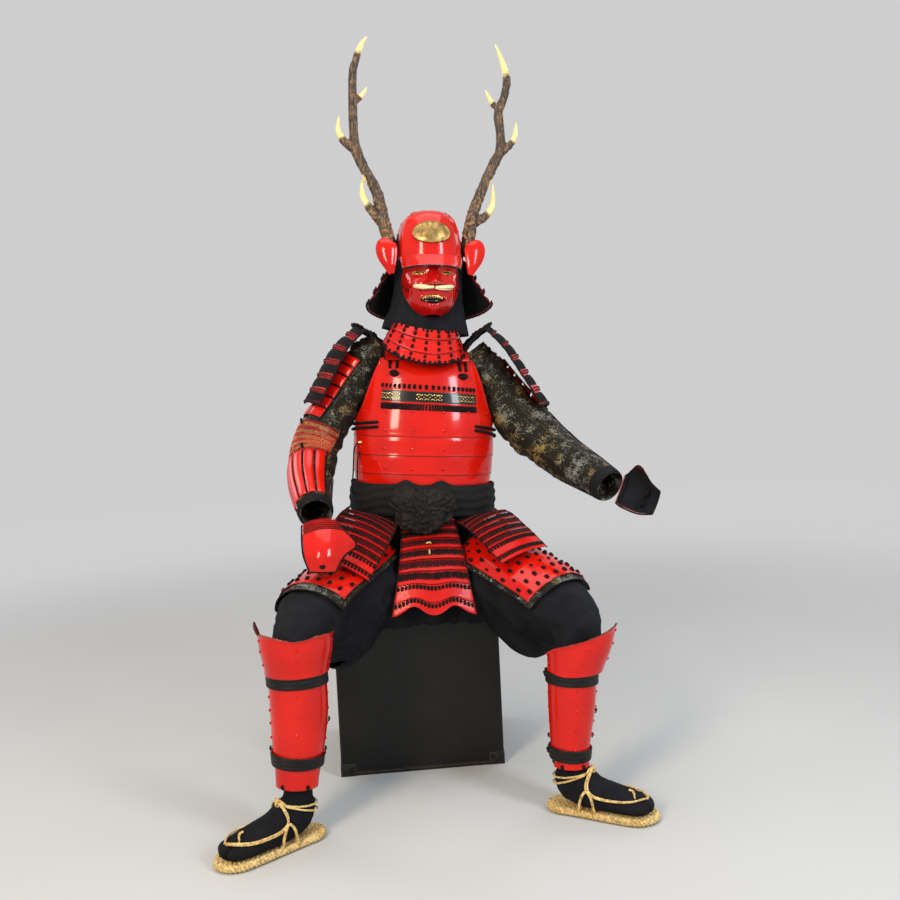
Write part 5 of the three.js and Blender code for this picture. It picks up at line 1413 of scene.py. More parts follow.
def skirt_panel(place):
    count, (first, last), broad = SKIRT_BANDS.get(place, SKIRT_BANDS["front_right"])
    whole_strip = strip(SKIRT[place])
    dip = 0.045 if place == "front" else 0
    panel = lambda u, t, out=0: whole_strip(u, t - dip * (1 - np.cos(2 * np.pi * u)) * t**8, out)
    length = float(np.linalg.norm(np.diff(whole_strip(0, spaced(0, 1, 40)), axis=0), axis=1).sum())
    width = lambda t: 2 * float(row_at(SKIRT[place], np.array(t))["half"])
    narrow = spaced(first, last, count + 1)
    form = Form()
    n = 18 if place.startswith("front") else 11
    lames(form, panel, [0, first], (-1, 1, n), out=-1.6, rise=1.2, lip=0.2)
    lames(form, panel, narrow, (-1, 1, n), out=-1, rise=3.2, thick=1.8, rows=2, lip=1)
    form.piece(f"skirt_lames_{place}", LAME, f"skirt_panel_{place}")
    broad = [last, *broad, 1]
    form = lames(Form(), panel, broad, (-1, 1, 32), out=-0.6, rise=3, thick=2, rows=5, lip=1)
    form.piece(f"skirt_plates_{place}", LAME)
    pitch = narrow[1] - narrow[0]
    wine, black = Places(), Places()
    tops = [0.012, *narrow[:-1]]
    for k, top in enumerate(tops):
        step = first if k == 0 else pitch
        n = int(width(top) / 5.8)
        u = spaced(-0.965, 0.965, n)
        t = top + step * (0.42 if k else 0.5)
        (wine if k % 2 else black).on(panel, u, t, 1.4)
    size = pitch * length * 0.74, 1.2, 1.4, 3.6
    wine.laced(f"skirt_wine_lacing_{place}", *size, silk=WINE_LACING, seed=3)
    black.laced(f"skirt_black_lacing_{place}", *size, seed=5)
    dots = Places()
    for t in [last + 0.022, *[b + 0.026 for b in broad[1:-1]]]:
        dots.on(panel, spaced(-0.94, 0.94, int(width(t) / 9)), t, 0.9)
    dots.laced(f"skirt_hem_lacing_{place}", 9, 2, 0.5, 4.8)
    edge = Form()
    for u in (-1, 1):
        laced_cord(edge, on_surface(panel, run(u, (0, 1), 0.2, 16), 110), 1.9, 8)
    edge.piece(f"skirt_edging_{place}", WINE_LACING)
    if place == "front":
        marks = Places()
        for u, t, turn in ((-0.07, 0.2, 90), (-0.15, 0.26, 0), (0, 0.26, 0), (-0.07, 0.32, 90),
            (-0.07, 0.4, 90), (-0.07, 0.49, 90), (-0.07, 0.56, 0)):
            marks.on(panel, u, t, 5.6, turn=turn)
        marks.laced("skirt_gold_ties", 12, 2.2, 1.6, 3.4, silk=GOLD_THREAD)


# ---- thigh guards

THIGH_GUARD = {
    "right": {"t0": 0.26, "t1": 0.63, "left": -92, "right": 54, "inner": 1, "flare": 8},
    "left": {"t0": 0.26, "t1": 0.62, "left": -62, "right": 84, "inner": -1, "flare": 6},
}


def thigh_guard(name):
    g = THIGH_GUARD[name]
    away = lambda a: g["flare"] * np.clip((a * g["inner"] - 30) / 56, 0, 1)
    skin = lambda a, t, out=0: LEG[name](a, t, out + away(a))
    all_ = part_of(skin, g["left"], g["right"], g["t0"], g["t1"])
    s0, s1 = (0.015, 0.95) if g["inner"] > 0 else (0.05, 0.985)
    plate = lambda u, t, out=0: all_(s0 + (s1 - s0) * u, 0.015 + 0.93 * t, out)
    form = Form()
    ridge = lambda u, t: 7.4 + 0.9 * np.abs(np.sin(np.pi * 6 * u)) ** 0.6 + 1 * bump(t, 1,
        0.03) + 1 * bump(np.abs(u - 0.5), 0.5, 0.02)
    form.wall(plate, (0, 1, 49), (0, 1, 24), 2.2, ridge)
    form.piece(f"thigh_plates_{name}", RED)
    creased = lambda u, t: 5 + 0.5 * np.sin(26 * u) * np.sin(19 * t + 2 * u)
    cloth = Form().wall(all_, (0, 1, 32), (0, 1, 18), 2, creased)
    obj = cloth.piece(f"thigh_brocade_{name}", BROCADE, f"thigh_guard_{name}")
    big, small = Places(), Places()
    for k, t in enumerate(spaced(0.05, 0.95, 10)):
        u = spaced(0.04, 0.96, 9) + (0.057 if k % 2 else 0)
        u = u[u < 0.98]
        (small if k % 3 == 1 else big).on(plate, u, t, ridge(u, t) + 0.9, turn=0)
    big.laced(f"thigh_lacing_{name}", 10.4, 2.4, 0.4, 6.6)
    small.laced(f"thigh_fine_lacing_{name}", 6.8, 1.8, 0.4, 4.4)
    rim = Form()
    around = run(0, (0, 0.97), 4.2, 12) + run((0.03, 0.97), 1, 4.2, 14) + run(1, (0.97, 0), 4.2, 12)
    laced_cord(rim, on_surface(all_, around, 260), 2.2, 8)
    rim.piece(f"thigh_piping_{name}", LACING)
    tied = Form()
    u = 0 if g["inner"] > 0 else 1
    for t in spaced(0.12, 0.9, 7):
        knot_on(tied, all_, u, t, 7, 4.2, (0, 0.01))
    tied.piece(f"thigh_knots_{name}", LACING)


# ---- sleeves

SLEEVE_SKIN = {name: tube(tab) for name, tab in SLEEVE.items()}
ELBOW = {"right": 0.62, "left": 0.5}


def sleeve(name):
    """The brocade sleeve with its folds: rings of creases at the elbow, long slack ones above it."""
    t, a = round_grid(112, 62)
    elbow = bump(t, ELBOW[name], 0.16)
    wave = rough(rolled(a, t, 80, 620, (0.35, 0.35, 1)), 46, 3 if name == "right" else 8)
    slack = rough(rolled(a, t, 80, 620, (1, 1, 0.35)), 55, 14)
    crease = 1 - np.minimum(np.abs(wave) * 2.4, 1)
    depth = (3.6 + 7 * elbow + 4 * bump(t, 0.12, 0.12)) * crease
    depth += 4 * np.abs(slack) * (1 - bump(t, ELBOW[name], 0.1)) * smooth(1 - t, 0, 0.15)
    points = SLEEVE_SKIN[name](a, t, 2.6 - depth)
    nodes = [f"sleeve_upper_{name}", f"sleeve_fore_{name}"]
    obj = cloth_tube(f"sleeve_{name}", points, (0.36, 0.62), BROCADE, nodes)


def arm_plates(name):
    """Small lacquered plates and splints over a sleeve, joined by mail."""
    skin = SLEEVE_SKIN[name]
    plates, studs, mail, gold, edge = Form(), Places(), Places(), Places(), Form()
    spans = {"right": [(-96, -54, 0.17, 0.47), (-50, -10, 0.17, 0.47)],
        "left": [(72, 112, 0.2, 0.5), (116, 156, 0.2, 0.5)]}[name]
    for left, right, t0, t1 in spans:
        edges = spaced(t0, t1, 7)
        for a, b in zip(edges[:-1], edges[1:]):
            tile = part_of(skin, left, right, a + 0.003, b - 0.004)
            plates.wall(tile, (0, 1, 9), (0, 1, 7), 2, lambda u,
                t: 6.2 + 1.4 * (1 - (2 * u - 1) ** 2) * (1 - (2 * t - 1) ** 4))
            studs.on(tile, np.array([0.14, 0.86, 0.14, 0.86]), np.array([0.16, 0.16, 0.84, 0.84]), 6.6)
    upper = part_of(skin, spans[0][0], spans[1][1], spans[0][2], spans[0][3])
    plates.piece(f"upper_arm_plates_{name}_iron", RED, f"upper_arm_plates_{name}")
    # the forearm: long splints over mail
    left, right = {"right": (-108, 40), "left": (62, 198)}[name]
    splints = Form()
    step = (right - left) / 5
    swell = lambda u, t: 5.6 + 2.6 * (1 - (2 * u - 1) ** 2) - 1.6 * bump(t, 0, 0.05) - 1.6 * bump(t, 1, 0.05)
    for k in range(5):
        bar = part_of(skin, left + k * step + 2.2, left + (k + 1) * step - 2.2, 0.66, 0.925)
        splints.wall(bar, (0, 1, 8), (0, 1, 18), 2.2, swell)
        studs.on(bar, 0.5, np.array([0.06, 0.94]), 6.6)
    splints.piece(f"forearm_splints_{name}_iron", RED, f"forearm_splints_{name}")
    studs.piece(f"arm_studs_{name}", RIVETS, RED, Radius=2.2)
    # mail at the elbow and between the splints
    top, foot = 0.495 if name == "right" else 0.53, 0.655
    for i, t in enumerate(spaced(top, foot, int((foot - top) * 100))):
        a = spaced(left - 4, right + 4, 24) + (2.4 if i % 2 else 0)
        (gold if i % 3 == 1 and name == "right" else mail).on(skin, a, t, 3.8, turn=24 if i % 2 else -24)
    mail.piece(f"arm_mail_{name}", MAIL, RED if name == "right" else IRON, "brass", Radius=4.2, Wire=0.85)
    if name == "right":
        gold.piece("arm_gilt_mail_right", MAIL, GILT, Radius=4, Wire=0.8)
    # the black cord along both edges of the plates, and the padded band at the wrist
    lower = part_of(skin, left - 3, right + 3, 0.64, 0.94)
    for u in (0, 1):
        laced_cord(edge, on_surface(upper, run(u, (0, 1), 4.6, 10), 90), 2.4, 9)
        laced_cord(edge, on_surface(lower, run(u, (0, 1), 4, 8), 60), 2.2, 9)
    for a, t in (((-52, 0.5), (-20, 0.64)) if name == "right" else ((96, 0.52), (130, 0.64))):
        knot_on(edge, skin, a, t, 7, 5)
    edge.piece(f"arm_edging_{name}", LACING)
    t, a = round_grid(10, 60)
    wavy = 3.4 + 0.5 * np.sin(np.radians(a * 5)) + 1.6 * np.sin(np.pi * t) - 2.8 * (2 * t - 1) ** 8
    obj = cloth_tube(f"wrist_band_{name}", skin(a, 0.93 + 0.068 * t, wavy), (0.26, 0.04), COTTON)


def hand_guard(name):
    """A swelling plate over the back of the hand, with a lobe over the thumb, mail behind it and a cord edge."""
    surface = strip(HAND_GUARD[name])
    lobe = lambda t: 0.75 * bump(t, 0.42, 0.2)
    left = (lambda t: -1 + 0 * t) if name == "right" else (lambda t: -1 - lobe(t))
    right = (lambda t: 1 + lobe(t)) if name == "right" else (lambda t: 1 + 0 * t)
    all_ = part_of(surface, left, right)
    form, edge, mail = Form(), Form(), Places()
    dome = lambda u, t: 1 + 4.5 * bump(u, 0.42, 0.3) * bump(t, 0.62, 0.3) + 1 * bump(np.abs(u - 0.5),
        0.5, 0.03)
    form.wall(lambda u, t, out=0: all_(0.02 + 0.96 * u, 0.22 + 0.77 * t, out), (0, 1, 32), (0, 1, 30),
        2.4, dome)
    form.piece(f"hand_plate_{name}", RED, f"hand_guard_{name}")
    lining = Form().wall(part_of(all_, 0.04, 0.96, 0, 0.97), (0, 1, 22), (0, 1, 22), 1.6, -1.2)
    obj = lining.piece(f"hand_lining_{name}", COTTON)
    for i, t in enumerate(spaced(0.02, 0.22, 6)):
        mail.on(all_, spaced(0.04, 0.96, 17) + (0.02 if i % 2 else 0), t, 0.6, turn=26 if i % 2 else -26)
    mail.piece(f"hand_mail_{name}", MAIL, LAME, "red_lacquer", Radius=3.4, Wire=0.6)
    around = run(0, (0, 0.97), 0.2, 14) + run((0.03, 0.97), 1, 0.2, 8) + run(1, (0.97, 0), 0.2, 14)
    laced_cord(edge, on_surface(all_, around, 170), 2.6, 9)
    knot_on(edge, all_, 0.5, 0.86, 2.6, 4.6, (0.05, 0))
    # inside it: two finger loops and the cord that ties it at the wrist
    for u0, u1, t, deep in ((0.18, 0.46, 0.72, 15), (0.52, 0.8, 0.7, 15), (0.08, 0.92, 0.16, 7)):
        bow = [(u0 + (u1 - u0) * s, t, -3 - deep * math.sin(math.pi * s)) for s in spaced(0, 1, 9)]
        laced_cord(edge, on_surface(all_, bow, 50), 3.6, 10)
    edge.piece(f"hand_edging_{name}", LACING)


# ---- shoulder guards


def shoulder_guard(name):
    surface = strip(SHOULDER_GUARD[name])
    edges = spaced(0, 1, 7)
    form = lames(Form(), surface, edges, (-1, 1, 22), out=-1.2, rise=4.6, thick=2.2, rows=3, lip=1.4)
    form.piece(f"shoulder_lames_{name}", LAME, f"shoulder_guard_{name}")
    length = float(np.linalg.norm(np.diff(surface(0, spaced(0, 1, 40)), axis=0), axis=1).sum())
    laces, cross = Places(), Places()
    for k, (a, b) in enumerate(zip(edges[:-1], edges[1:])):
        laces.on(surface, spaced(-0.96, 0.96, 26), a + 0.5 * (b - a), 2.2)
        cross.on(surface, spaced(-0.94, 0.94, 20), b - 0.12 * (b - a), 4.2, turn=90)
    laces.laced(f"shoulder_lacing_{name}", length / 6 * 0.78, 1.5, 2, 3.4, seed=4)
    cross.laced(f"shoulder_cross_lacing_{name}", 7, 1.4, 0.8, 2.6, silk=WINE_LACING, seed=6)
    edge = Form()
    around = run(-1, (0.98, 0), 0.4, 12) + run((-0.96, 0.96), 0, 0.4, 9) + run(1, (0, 0.98), 0.4, 12)
    laced_cord(edge, on_surface(surface, around, 170), 3, 10)
    laced_cord(edge, on_surface(surface, run((-1, 1), 1, 2.6, 9), 90), 2.6, 10)
    # the cords that hold it to the shoulder strap, with their knots
    strap = whole(STRAP_SKIN[name], TORSO)
    outer = 1 if strap(1, 0.5)[0] * strap(0, 0.5)[0] > strap(0, 0.5)[0] ** 2 else -1
    for k, (u, s) in enumerate(((-0.75, 0.34), (-0.4, 0.42), (0, 0.5), (0.4, 0.58), (0.75, 0.66))):
        a, b = surface(u, 0.03, 3), strap(outer * 0.6, s, 4)
        path = [a, a + (b - a) * 0.33 + (0, 0, 5 + 2 * (k % 2)),
            a + (b - a) * 0.68 + (0, 0, 6 - 2 * (k % 2)), b]
        laced_cord(edge, smooth_path(path, 22), 6.4, 13)
        knot(edge, a, (0, -0.3, 1), b - a, 7.2)
        knot(edge, a + (b - a) * (0.45 + 0.1 * (k % 2)) + (0, 0, 7), (0, -0.4, 1), b - a, 7.6)
        knot(edge, b, (0, -0.3, 1), (0, 1, 0), 6.4)
    edge.piece(f"shoulder_edging_{name}", LACING)


# ---- shins and knees

BANDS = {"right": (378, 191), "left": (322, 142)}
BAND_WIDTH, BELT = 20, 29
KNEE_TOP = {
    "right": lambda u: 0.14 * bump(u, 0.05, 0.35) + 0.16 * bump(u, 1, 0.4) + 0.1 * bump(u, -1, 0.3),
    "left": lambda u: np.clip(0.72 - 0.62 * (u + 1) * 0.62, 0.03, 0.75),
}
SHIN_SKIN = {name: tube(tab) for name, tab in SHIN.items()}
KNEE_SKIN = {name: tube(tab) for name, tab in KNEE.items()}


def shin(name):
    shin_ = SHIN_SKIN[name]
    low_band = place_of(SHIN[name], "z", BANDS[name][1])
    low = place_of(SHIN[name], "z", BANDS[name][1] - BAND_WIDTH / 2 - 1)
    all_ = part_of(shin_, -104, 104)
    plate = lambda u, t, out=0: all_(0.06 + 0.88 * u, t, out)
    form, studs, ties = Form(), Places(), Form()
    keel = lambda u, t: 0.6 + 2.2 * bump(u, 0.5, 0.13) + 1.1 * bump(np.abs(u - 0.5), 0.5,
        0.015) + 0.9 * bump(t, 0, 0.012)
    form.wall(plate, (0, 1, 49), (0, low_band + 0.01, 30), 2.2, keel)
    # the ankle plate below the strap flares a little
    form.wall(plate, (0.12, 0.88, 34), (low - 0.03, 1, 9), 2.2, lambda u, t: 0.9 + 3 * smooth(t, low, 1))
    form.piece(f"shin_plates_{name}", RED, f"shin_guard_{name}")
    studs.on(plate, 0.5, spaced(0.17, low_band - 0.09, 4), 3.4)
    for u in (0.045, 0.955):
        studs.on(plate, u, spaced(0.1, low_band - 0.06, 6), 2.2)
    studs.on(plate, np.array([0.26, 0.74]), 0.965, 3.6)
    turned = lambda u, t: -1.7 + 2.2 * bump(np.abs(u - 0.5), 0.5, 0.03)
    obj = Form().wall(all_, (0, 1, 34), (0, 0.99, 14), 1.8, turned).piece(f"shin_lining_{name}", BROCADE)
    for u, t in ((0.3, 0.955), (0.66, 0.955), (0.02, 0.62), (0.98, 0.62), (0.98, 0.4)):
        knot_on(ties, plate, u, t, 3, 4, (0, 0.02))
    knee = KNEE_SKIN[name]
    reach, hem = 84, BANDS[name][0] + BAND_WIDTH / 2 + 2
    t_line, lows = spaced(0, 1, 400), spaced(-reach, reach, 90)
    heights = knee(lows[:, None], t_line[None, :])[..., 2]
    low_line = [np.interp(-hem, -h, t_line) for h in heights]

    def cap(angle, t, out=0):
        top = KNEE_TOP[name](angle / reach)
        return knee(angle, top + (np.interp(angle, lows, low_line) - top) * t, out)

    cap_part = part_of(cap, -reach, reach)
    form = Form()
    roll = lambda u, t: 0.6 + 3.4 * bump(t, 0, 0.09) + 1 * bump(u, 0.5, 0.09) + 1.6 * bump(t, 1,
        0.08) + 0.8 * bump(np.abs(u - 0.5), 0.5, 0.02)
    form.wall(cap_part, (0, 1, 49), (0, 1, 26), 2.2, roll)
    form.piece(f"knee_plates_{name}", RED, f"knee_guard_{name}")
    studs.on(cap_part, 0.52, np.array([0.3, 0.62]), 2.2)
    if name == "right":  # the dark ear at its outer corner
        ear, foot = Form(), cap_part(0.03, 0.02, 0)
        ear.rod(smooth_path([foot + (2, 0, -6), foot + (-3, 1, 6), foot + (-7, 2, 18), foot + (-8, 3, 27)],
            16), 9.5 * np.sin(spaced(0.35, 2.9, 17)) ** 0.6, sides=12, flat=0.4)
        ear.piece("knee_ear_right", WINE_LACQUER, crisp=0)
    for u in (0.05, 0.95):
        studs.on(cap_part, u, np.array([0.22, 0.5, 0.78]), 1.6)
    studs.piece(f"shin_studs_{name}", RIVETS, RED, Radius=3.6)
    lining = Form().wall(cap_part, (0, 1, 32), (0, 1, 12), 1.6, lambda u, t: -1.9 + 2.8 * bump(t, 0, 0.1))
    obj = lining.piece(f"knee_lining_{name}", BROCADE)
    ties.piece(f"shin_knots_{name}", LACING)
    for k, z in enumerate(BANDS[name]):
        t0, t1 = (place_of(SHIN[name], "z", z + s * BELT / 2) for s in (1, -1))
        # two turns of a flat cord band, one over the other
        t, a = round_grid(15, 72)
        slant = 0.05 * np.sin(np.radians(a - 40))
        wave = 5 + 1.3 * np.abs(np.sin(3 * np.pi * (t + slant))) ** 0.7 + 0.5 * np.sin(np.radians(7
            * a)) * np.sin(np.pi * t)
        points = shin_(a, t0 + (t1 - t0) * (t + slant * 1.2), wave)
        cloth_tube(f"shin_belt_{name}_{k + 1}", points, (0.38, 0.022), LEATHER, f"shin_strap_{name}_{k + 1}")
        tied = Form()
        knot_on(tied, shin_, 118 if name == "right" else -118, (t0 + t1) / 2, 5.5, 7)
        tied.piece(f"shin_bow_{name}_{k + 1}", LACING, slot="black_leather")


# ---- feet

SOCK_SKIN = tube(SOCK)
LACE = table("angle t", (-40, 0.235), (0, 0.33), (70, 0.4), (60, 0.62), (4, 0.84))


def sock(name):
    """A sock with its big toe apart."""
    t, a = round_grid(64, 46)
    fold = rough(rolled(a, t, 60, 330, (0.4, 0.4, 1)), 20, 6)
    depth = (1 + 3.4 * bump(t, 0.3, 0.09) + 1.6 * bump(t, 0.05, 0.1)) * (1
        - np.minimum(np.abs(fold) * 2.2, 1))
    points = SOCK_SKIN(a, t, 1.2 - depth)
    slit = bump(points[..., 0] * SIDES[name], -16, 3.4) * smooth(-points[..., 1], 198, 226)
    points[..., 2] -= slit * np.clip(points[..., 2] - 27, 0, None) * 0.85
    points[..., 1] += slit * 16 * smooth(-points[..., 1], 236, 252)
    points[..., 2] = np.maximum(points[..., 2], SOLE["thick"] + 0.8)
    points[-1] = points[-1].mean(0)
    obj = cloth_tube(f"sock_cloth_{name}", points, (0.25, 0.34), COTTON, f"sock_{name}", 1.6, FOOT[name])


def sandal(name):
    """A sole of plaited straw with a thick rolled rim, side loops and doubled cords."""
    length, width, thick = SOLE["length"], SOLE["width"], SOLE["thick"]
    place = FOOT[name]
    heel, ball = width * 0.4, width / 2

    def half(y):
        """Half the sole's width at y."""
        s = -np.asarray(y, float)
        r = heel + (ball - heel) * smooth(s, heel, length - ball)
        arc = lambda radius, past: np.sqrt(np.clip(radius**2 - past**2, 0, None))
        toe = np.where(s > length - ball, arc(ball, s - length + ball), r)
        return np.minimum(r, np.where(s < heel, arc(heel, heel - s), toe))

    sole, rim, cords = Form(place), Form(place), Form(place)
    # plaited rows across the sole, each a rod of twisted straw that goes over and under
    for k, y in enumerate(np.arange(-7, -length + 6, -5.6)):
        w = float(half(y)) - 5
        if w < 6:
            continue
        x = spaced(-w, w, max(8, int(w / 2.1)))
        z = thick * 0.55 + 1.5 * np.sin(x / 9.5 * np.pi + (np.pi if k % 2 else 0)) + 1.5
        sole.rod(np.stack([x, y + 0 * x, z], -1), 4.1, sides=7, twist=13, lobes=5, depth=0.22, flat=1.5)
    sole.piece(f"sandal_sole_{name}", STRAW, f"sandal_{name}")
    # the rim: a thick rope of three strands along the edge
    front = ball * np.sin(spaced(0, np.pi / 2, 60)[1:])
    s = joined([spaced(0.02, 1, 60) * heel, spaced(heel, length - ball, 60)[1:], length - ball + front])
    w = np.maximum(half(-s) - 4.5, 0)
    outline = np.stack([w, -s * 0.975 - 3, 0 * s], -1)
    outline = joined([outline, (outline * (-1, 1, 1))[::-1]])
    path = smooth_path(outline[::6], 260, closed=True)
    gone = joined([[0], np.cumsum(np.linalg.norm(np.diff(path, axis=0), axis=1))])
    along = unit(np.roll(path, -1, 0) - np.roll(path, 1, 0))
    side, up = np.cross(along, [0, 0, 1]), np.array([0, 0, 1])
    turns = round(gone[-1] / 27)
    for k in range(3):
        phase = (2 * np.pi * (gone / gone[-1] * turns + k / 3))[:, None]
        strand = path + side * (3.6 * np.sin(phase) - 0.4) + up * (thick * 0.52 + 4.6 * np.cos(phase))
        rim.rod(strand, 5, sides=6, twist=9, lobes=4, depth=0.2, closed=True)
    rim.piece(f"sandal_rim_{name}", STRAW)
    on_sole = lambda a, t, out=0: np.maximum(SOCK_SKIN(a, t, out), (-1e9, -1e9, thick - 0.1))
    rope = lambda path, radius, twist, **more: cords.rod(path, radius, twist=twist, lobes=3,
        depth=0.25, **more)
    for sign in (-1, 1):
        for off in (-1.6, 1.6):
            row = row_at(LACE, spaced(0, 1, 60))
            lace = on_sole(sign * row["angle"] + off * 1.2, row["t"] + off * 0.004, 4.2)
            rope(lace, 2.5, 8, sides=9)
        low = thick - 2.6
        loop = np.array([(42, -86, low), (44, -92, 48), (43, -106, 67), (44, -118, 48),
            (42, -124, low)]) * (sign, 1, 1)
        rope(smooth_path(loop, 30), 3.7, 10, sides=10)
    for t in (0.205, 0.24):
        ring = on_sole(spaced(0, 360, 60, endpoint=False), np.full(60, t), 4.6)
        rope(ring, 2.6, 8, sides=9, closed=True)
    # the toe cord comes up between the toes
    toe = [(0, -214, thick), (-12 * SIDES[name], -212, 48), (0, -206, 62), (0, -196, 66)]
    rope(smooth_path(toe, 24), 3.2, 9, sides=9)
    knot(cords, on_sole(4, 0.225, 7.5), (0, -1, 0.3), (1, 0, 0), 6)
    cords.piece(f"sandal_cords_{name}", STRAW, f"sandal_cord_{name}")


# ---- helmet

RIBS = (-58, 58, 98, 139, 180, -139, -98)


def bowl_relief(a, t):
    """Raised ribs where the bowl's plates meet, and a broad swelling plate in front."""
    apart = lambda rib: (a - rib + 180) % 360 - 180
    high = smooth(t, 0.06, 0.22)
    rise = sum(2.6 * bump(apart(rib), 0, 2.2) + 1.2 * bump(apart(rib), 0, 6.5) for rib in RIBS)
    front = smooth(58 - np.abs(apart(0)), -1.5, 2)
    return high * (rise + 1.4 * front) + 1.6 * bump(t, 0.985, 0.014)


BOWL_SKIN = tube(BOWL, power=2.2, relief=bowl_relief)
FLAT_BOWL = tube(BOWL, power=2.2)
VISOR_SKIN = tube(VISOR, power=2.2)
NECK_SKIN = tube(NECK)


def helmet():
    form = Form(HEAD)
    form.wall(BOWL_SKIN, (0, 360, 150), (0, 1, 24), 2.2, wrap=True)
    form.piece("helmet_bowl_plates", RED, "helmet_bowl")
    studs, dark = Places(HEAD), Places(HEAD)
    for rib in RIBS:
        studs.on(FLAT_BOWL, rib, np.array([0.42, 0.6, 0.78, 0.93]), 4.6)
    for a in (-66, -50, 50, 66):
        dark.on(FLAT_BOWL, a, np.array([0.245, 0.33]), 2.2)
    dark.on(FLAT_BOWL, np.array([-40, -20, 20, 40]), 0.96, 1.6)
    studs.piece("helmet_studs", RIVETS, RED, Radius=1.9)
    dark.piece("helmet_dark_studs", RIVETS, IRON, "red_lacquer", Radius=2.1)
    boss = Form(HEAD)
    turn = spaced(0, 360, 40, endpoint=False)
    for r, z, thick in ((11, 134.5, 2), (7, 136.5, 1.8), (3.2, 137.2, 2.4)):
        boss.rod(np.stack([r * np.cos(np.radians(turn)), r * np.sin(np.radians(turn)), z + 0 * turn], -1),
            thick, sides=8, closed=True)
    boss.piece("helmet_top_boss", GILT, crisp=0)
    brim = part_of(VISOR_SKIN, -62, 62)
    visor, under, rim = Form(HEAD), Form(HEAD), Form(HEAD)
    visor.wall(brim, (0, 1, 48), (0, 1, 13), 2, lambda u,
        t: 0.9 * bump(t, 1, 0.1) + 0.8 * bump(t, 0.12, 0.06))
    visor.piece("helmet_visor_plate", RED, "helmet_visor")
    under.wall(brim, (0.01, 0.99, 40), (0.05, 0.98, 7), 0.8, -2.2)
    under.piece("helmet_visor_underside", BLACK)
    rim.rod(on_surface(brim, run((0, 1), 1, -0.6, 15), 110), 1.9, sides=9)
    rim.piece("helmet_visor_rim", BLACK)
    plaque()
    neck_guard()
    for name, tab in (("right", FLAP), ("left", mirrored(FLAP))):
        surface = strip(tab)
        flap, edge = Form(HEAD), Form(HEAD)
        swell = lambda u, t: 4.6 * (1 - u * u) * np.sin(np.pi * np.clip(t, 0, 1)) ** 0.7 + 1 * bump(np.abs(u),
            1, 0.06)
        flap.wall(surface, (-1, 1, 22), (0, 1, 26), 2, swell)
        flap.piece(f"helmet_flap_plate_{name}", RED, f"helmet_flap_{name}")
        around = run(-1, (1, 0), -0.6, 12) + run((-0.5, 0.5), 0, -0.6, 3) + run(1, (0, 1), -0.6, 12)
        edge.rod(on_surface(surface, around, 130), 1.7, sides=8)
        edge.piece(f"helmet_flap_edge_{name}", RED)


def plaque():
    """A plain oval brass plaque with a raised rim and four pins."""
    line = spaced(0, 1, 400)
    t_of = lambda z: np.interp(-z, -row_at(BOWL, line)["z"], line)
    spot = lambda r, p: (-3 + 33 * r * np.cos(np.radians(p)), t_of(64 + 30 * r * np.sin(np.radians(p))))
    r = joined([spaced(0.01, 0.8, 10), spaced(0.83, 1, 9)])
    profile = 5.6 + 0.9 * (1 - r**2) + 1.8 * bump(r, 0.92, 0.035) - 1.6 * smooth(r, 0.965, 1)
    r, out = joined([r, r[::-1]]), joined([profile, 2.8 + 0 * profile])
    p = spaced(0, 360, 72, endpoint=False)
    R, P = np.meshgrid(r, p, indexing="ij")
    a, t = spot(R, P)
    points = FLAT_BOWL(a, t, np.repeat(out[:, None], 72, axis=1))
    Form(HEAD).closed(points, grid_faces(*R.shape, True)).piece("helmet_plaque", BRASS, "helmet_crest")
    pins = Places(HEAD)
    for angle in (45, 135, 225, 315):
        pins.on(FLAT_BOWL, *spot(0.72, angle), 6.2)
    pins.piece("helmet_plaque_pins", RIVETS, GILT, Radius=2)


def neck_guard():
    plate = part_of(NECK_SKIN, 80, 280)
    edges = spaced(0, 1, 5)
    form = lames(Form(HEAD), plate, edges, (0, 1, 56), out=-1.4, rise=6.4, thick=2.2, rows=3, lip=1.6,
        tuck=0.02)
    form.piece("neck_lames", LAME, "neck_guard")
    behind = lambda u, t: -4.4 + 2.24 * ((t * 4) % 1)
    inside = Form(HEAD).wall(part_of(NECK_SKIN, 81, 279), (0, 1, 40), (0, 0.985, 9), 1.2, behind)
    lining = inside.piece("neck_lining", COTTON)
    laces, knobs = Places(HEAD), Places(HEAD)
    for k, (a, b) in enumerate(zip(edges[:-1], edges[1:])):
        n = 50 + 6 * k
        laces.on(plate, spaced(0.012, 0.988, n), a + 0.52 * (b - a), 3)
        knobs.on(plate, spaced(0.02, 0.98, 34 + 4 * k), b - 0.1 * (b - a), 5.8)
    laces.laced("neck_lacing", 22, 1.8, 2.6, 3.2, seed=2)
    knobs.laced("neck_knobs", 7.4, 2.6, 0.8, 4.4, seed=7)
    edge = Form(HEAD)
    for b in edges[1:]:
        for u in (0, 1):
            knot_on(edge, plate, u, b - 0.02, 3.5, 4.6)
    laced_cord(edge, on_surface(plate, run((0, 1), 1, 5, 19), 190), 2.6, 9)
    edge.piece("neck_edging", LACING)


# ---- hood and mask


def opened(points, faces, holes, behind=1e9):
    """Faces left once oval holes (x, z, half width, half height) are cut, with their edges moved onto the ovals."""
    points = points.copy()
    keep = np.ones(len(faces), bool)
    for x, z, wide, high in holes:
        away = np.hypot((points[:, 0] - x) / wide, (points[:, 2] - z) / high)
        inside = (away < 1) & (points[:, 1] < behind)
        gone = inside[faces].all(axis=1)
        keep &= ~gone
        edge = np.zeros(len(points), bool)
        edge[faces[~gone].ravel()] = True
        move = inside & edge
        scale = 1 / np.maximum(away[move], 1e-6)
        points[move, 0] = x + (points[move, 0] - x) * scale
        points[move, 2] = z + (points[move, 2] - z) * scale
    return points, faces[keep]


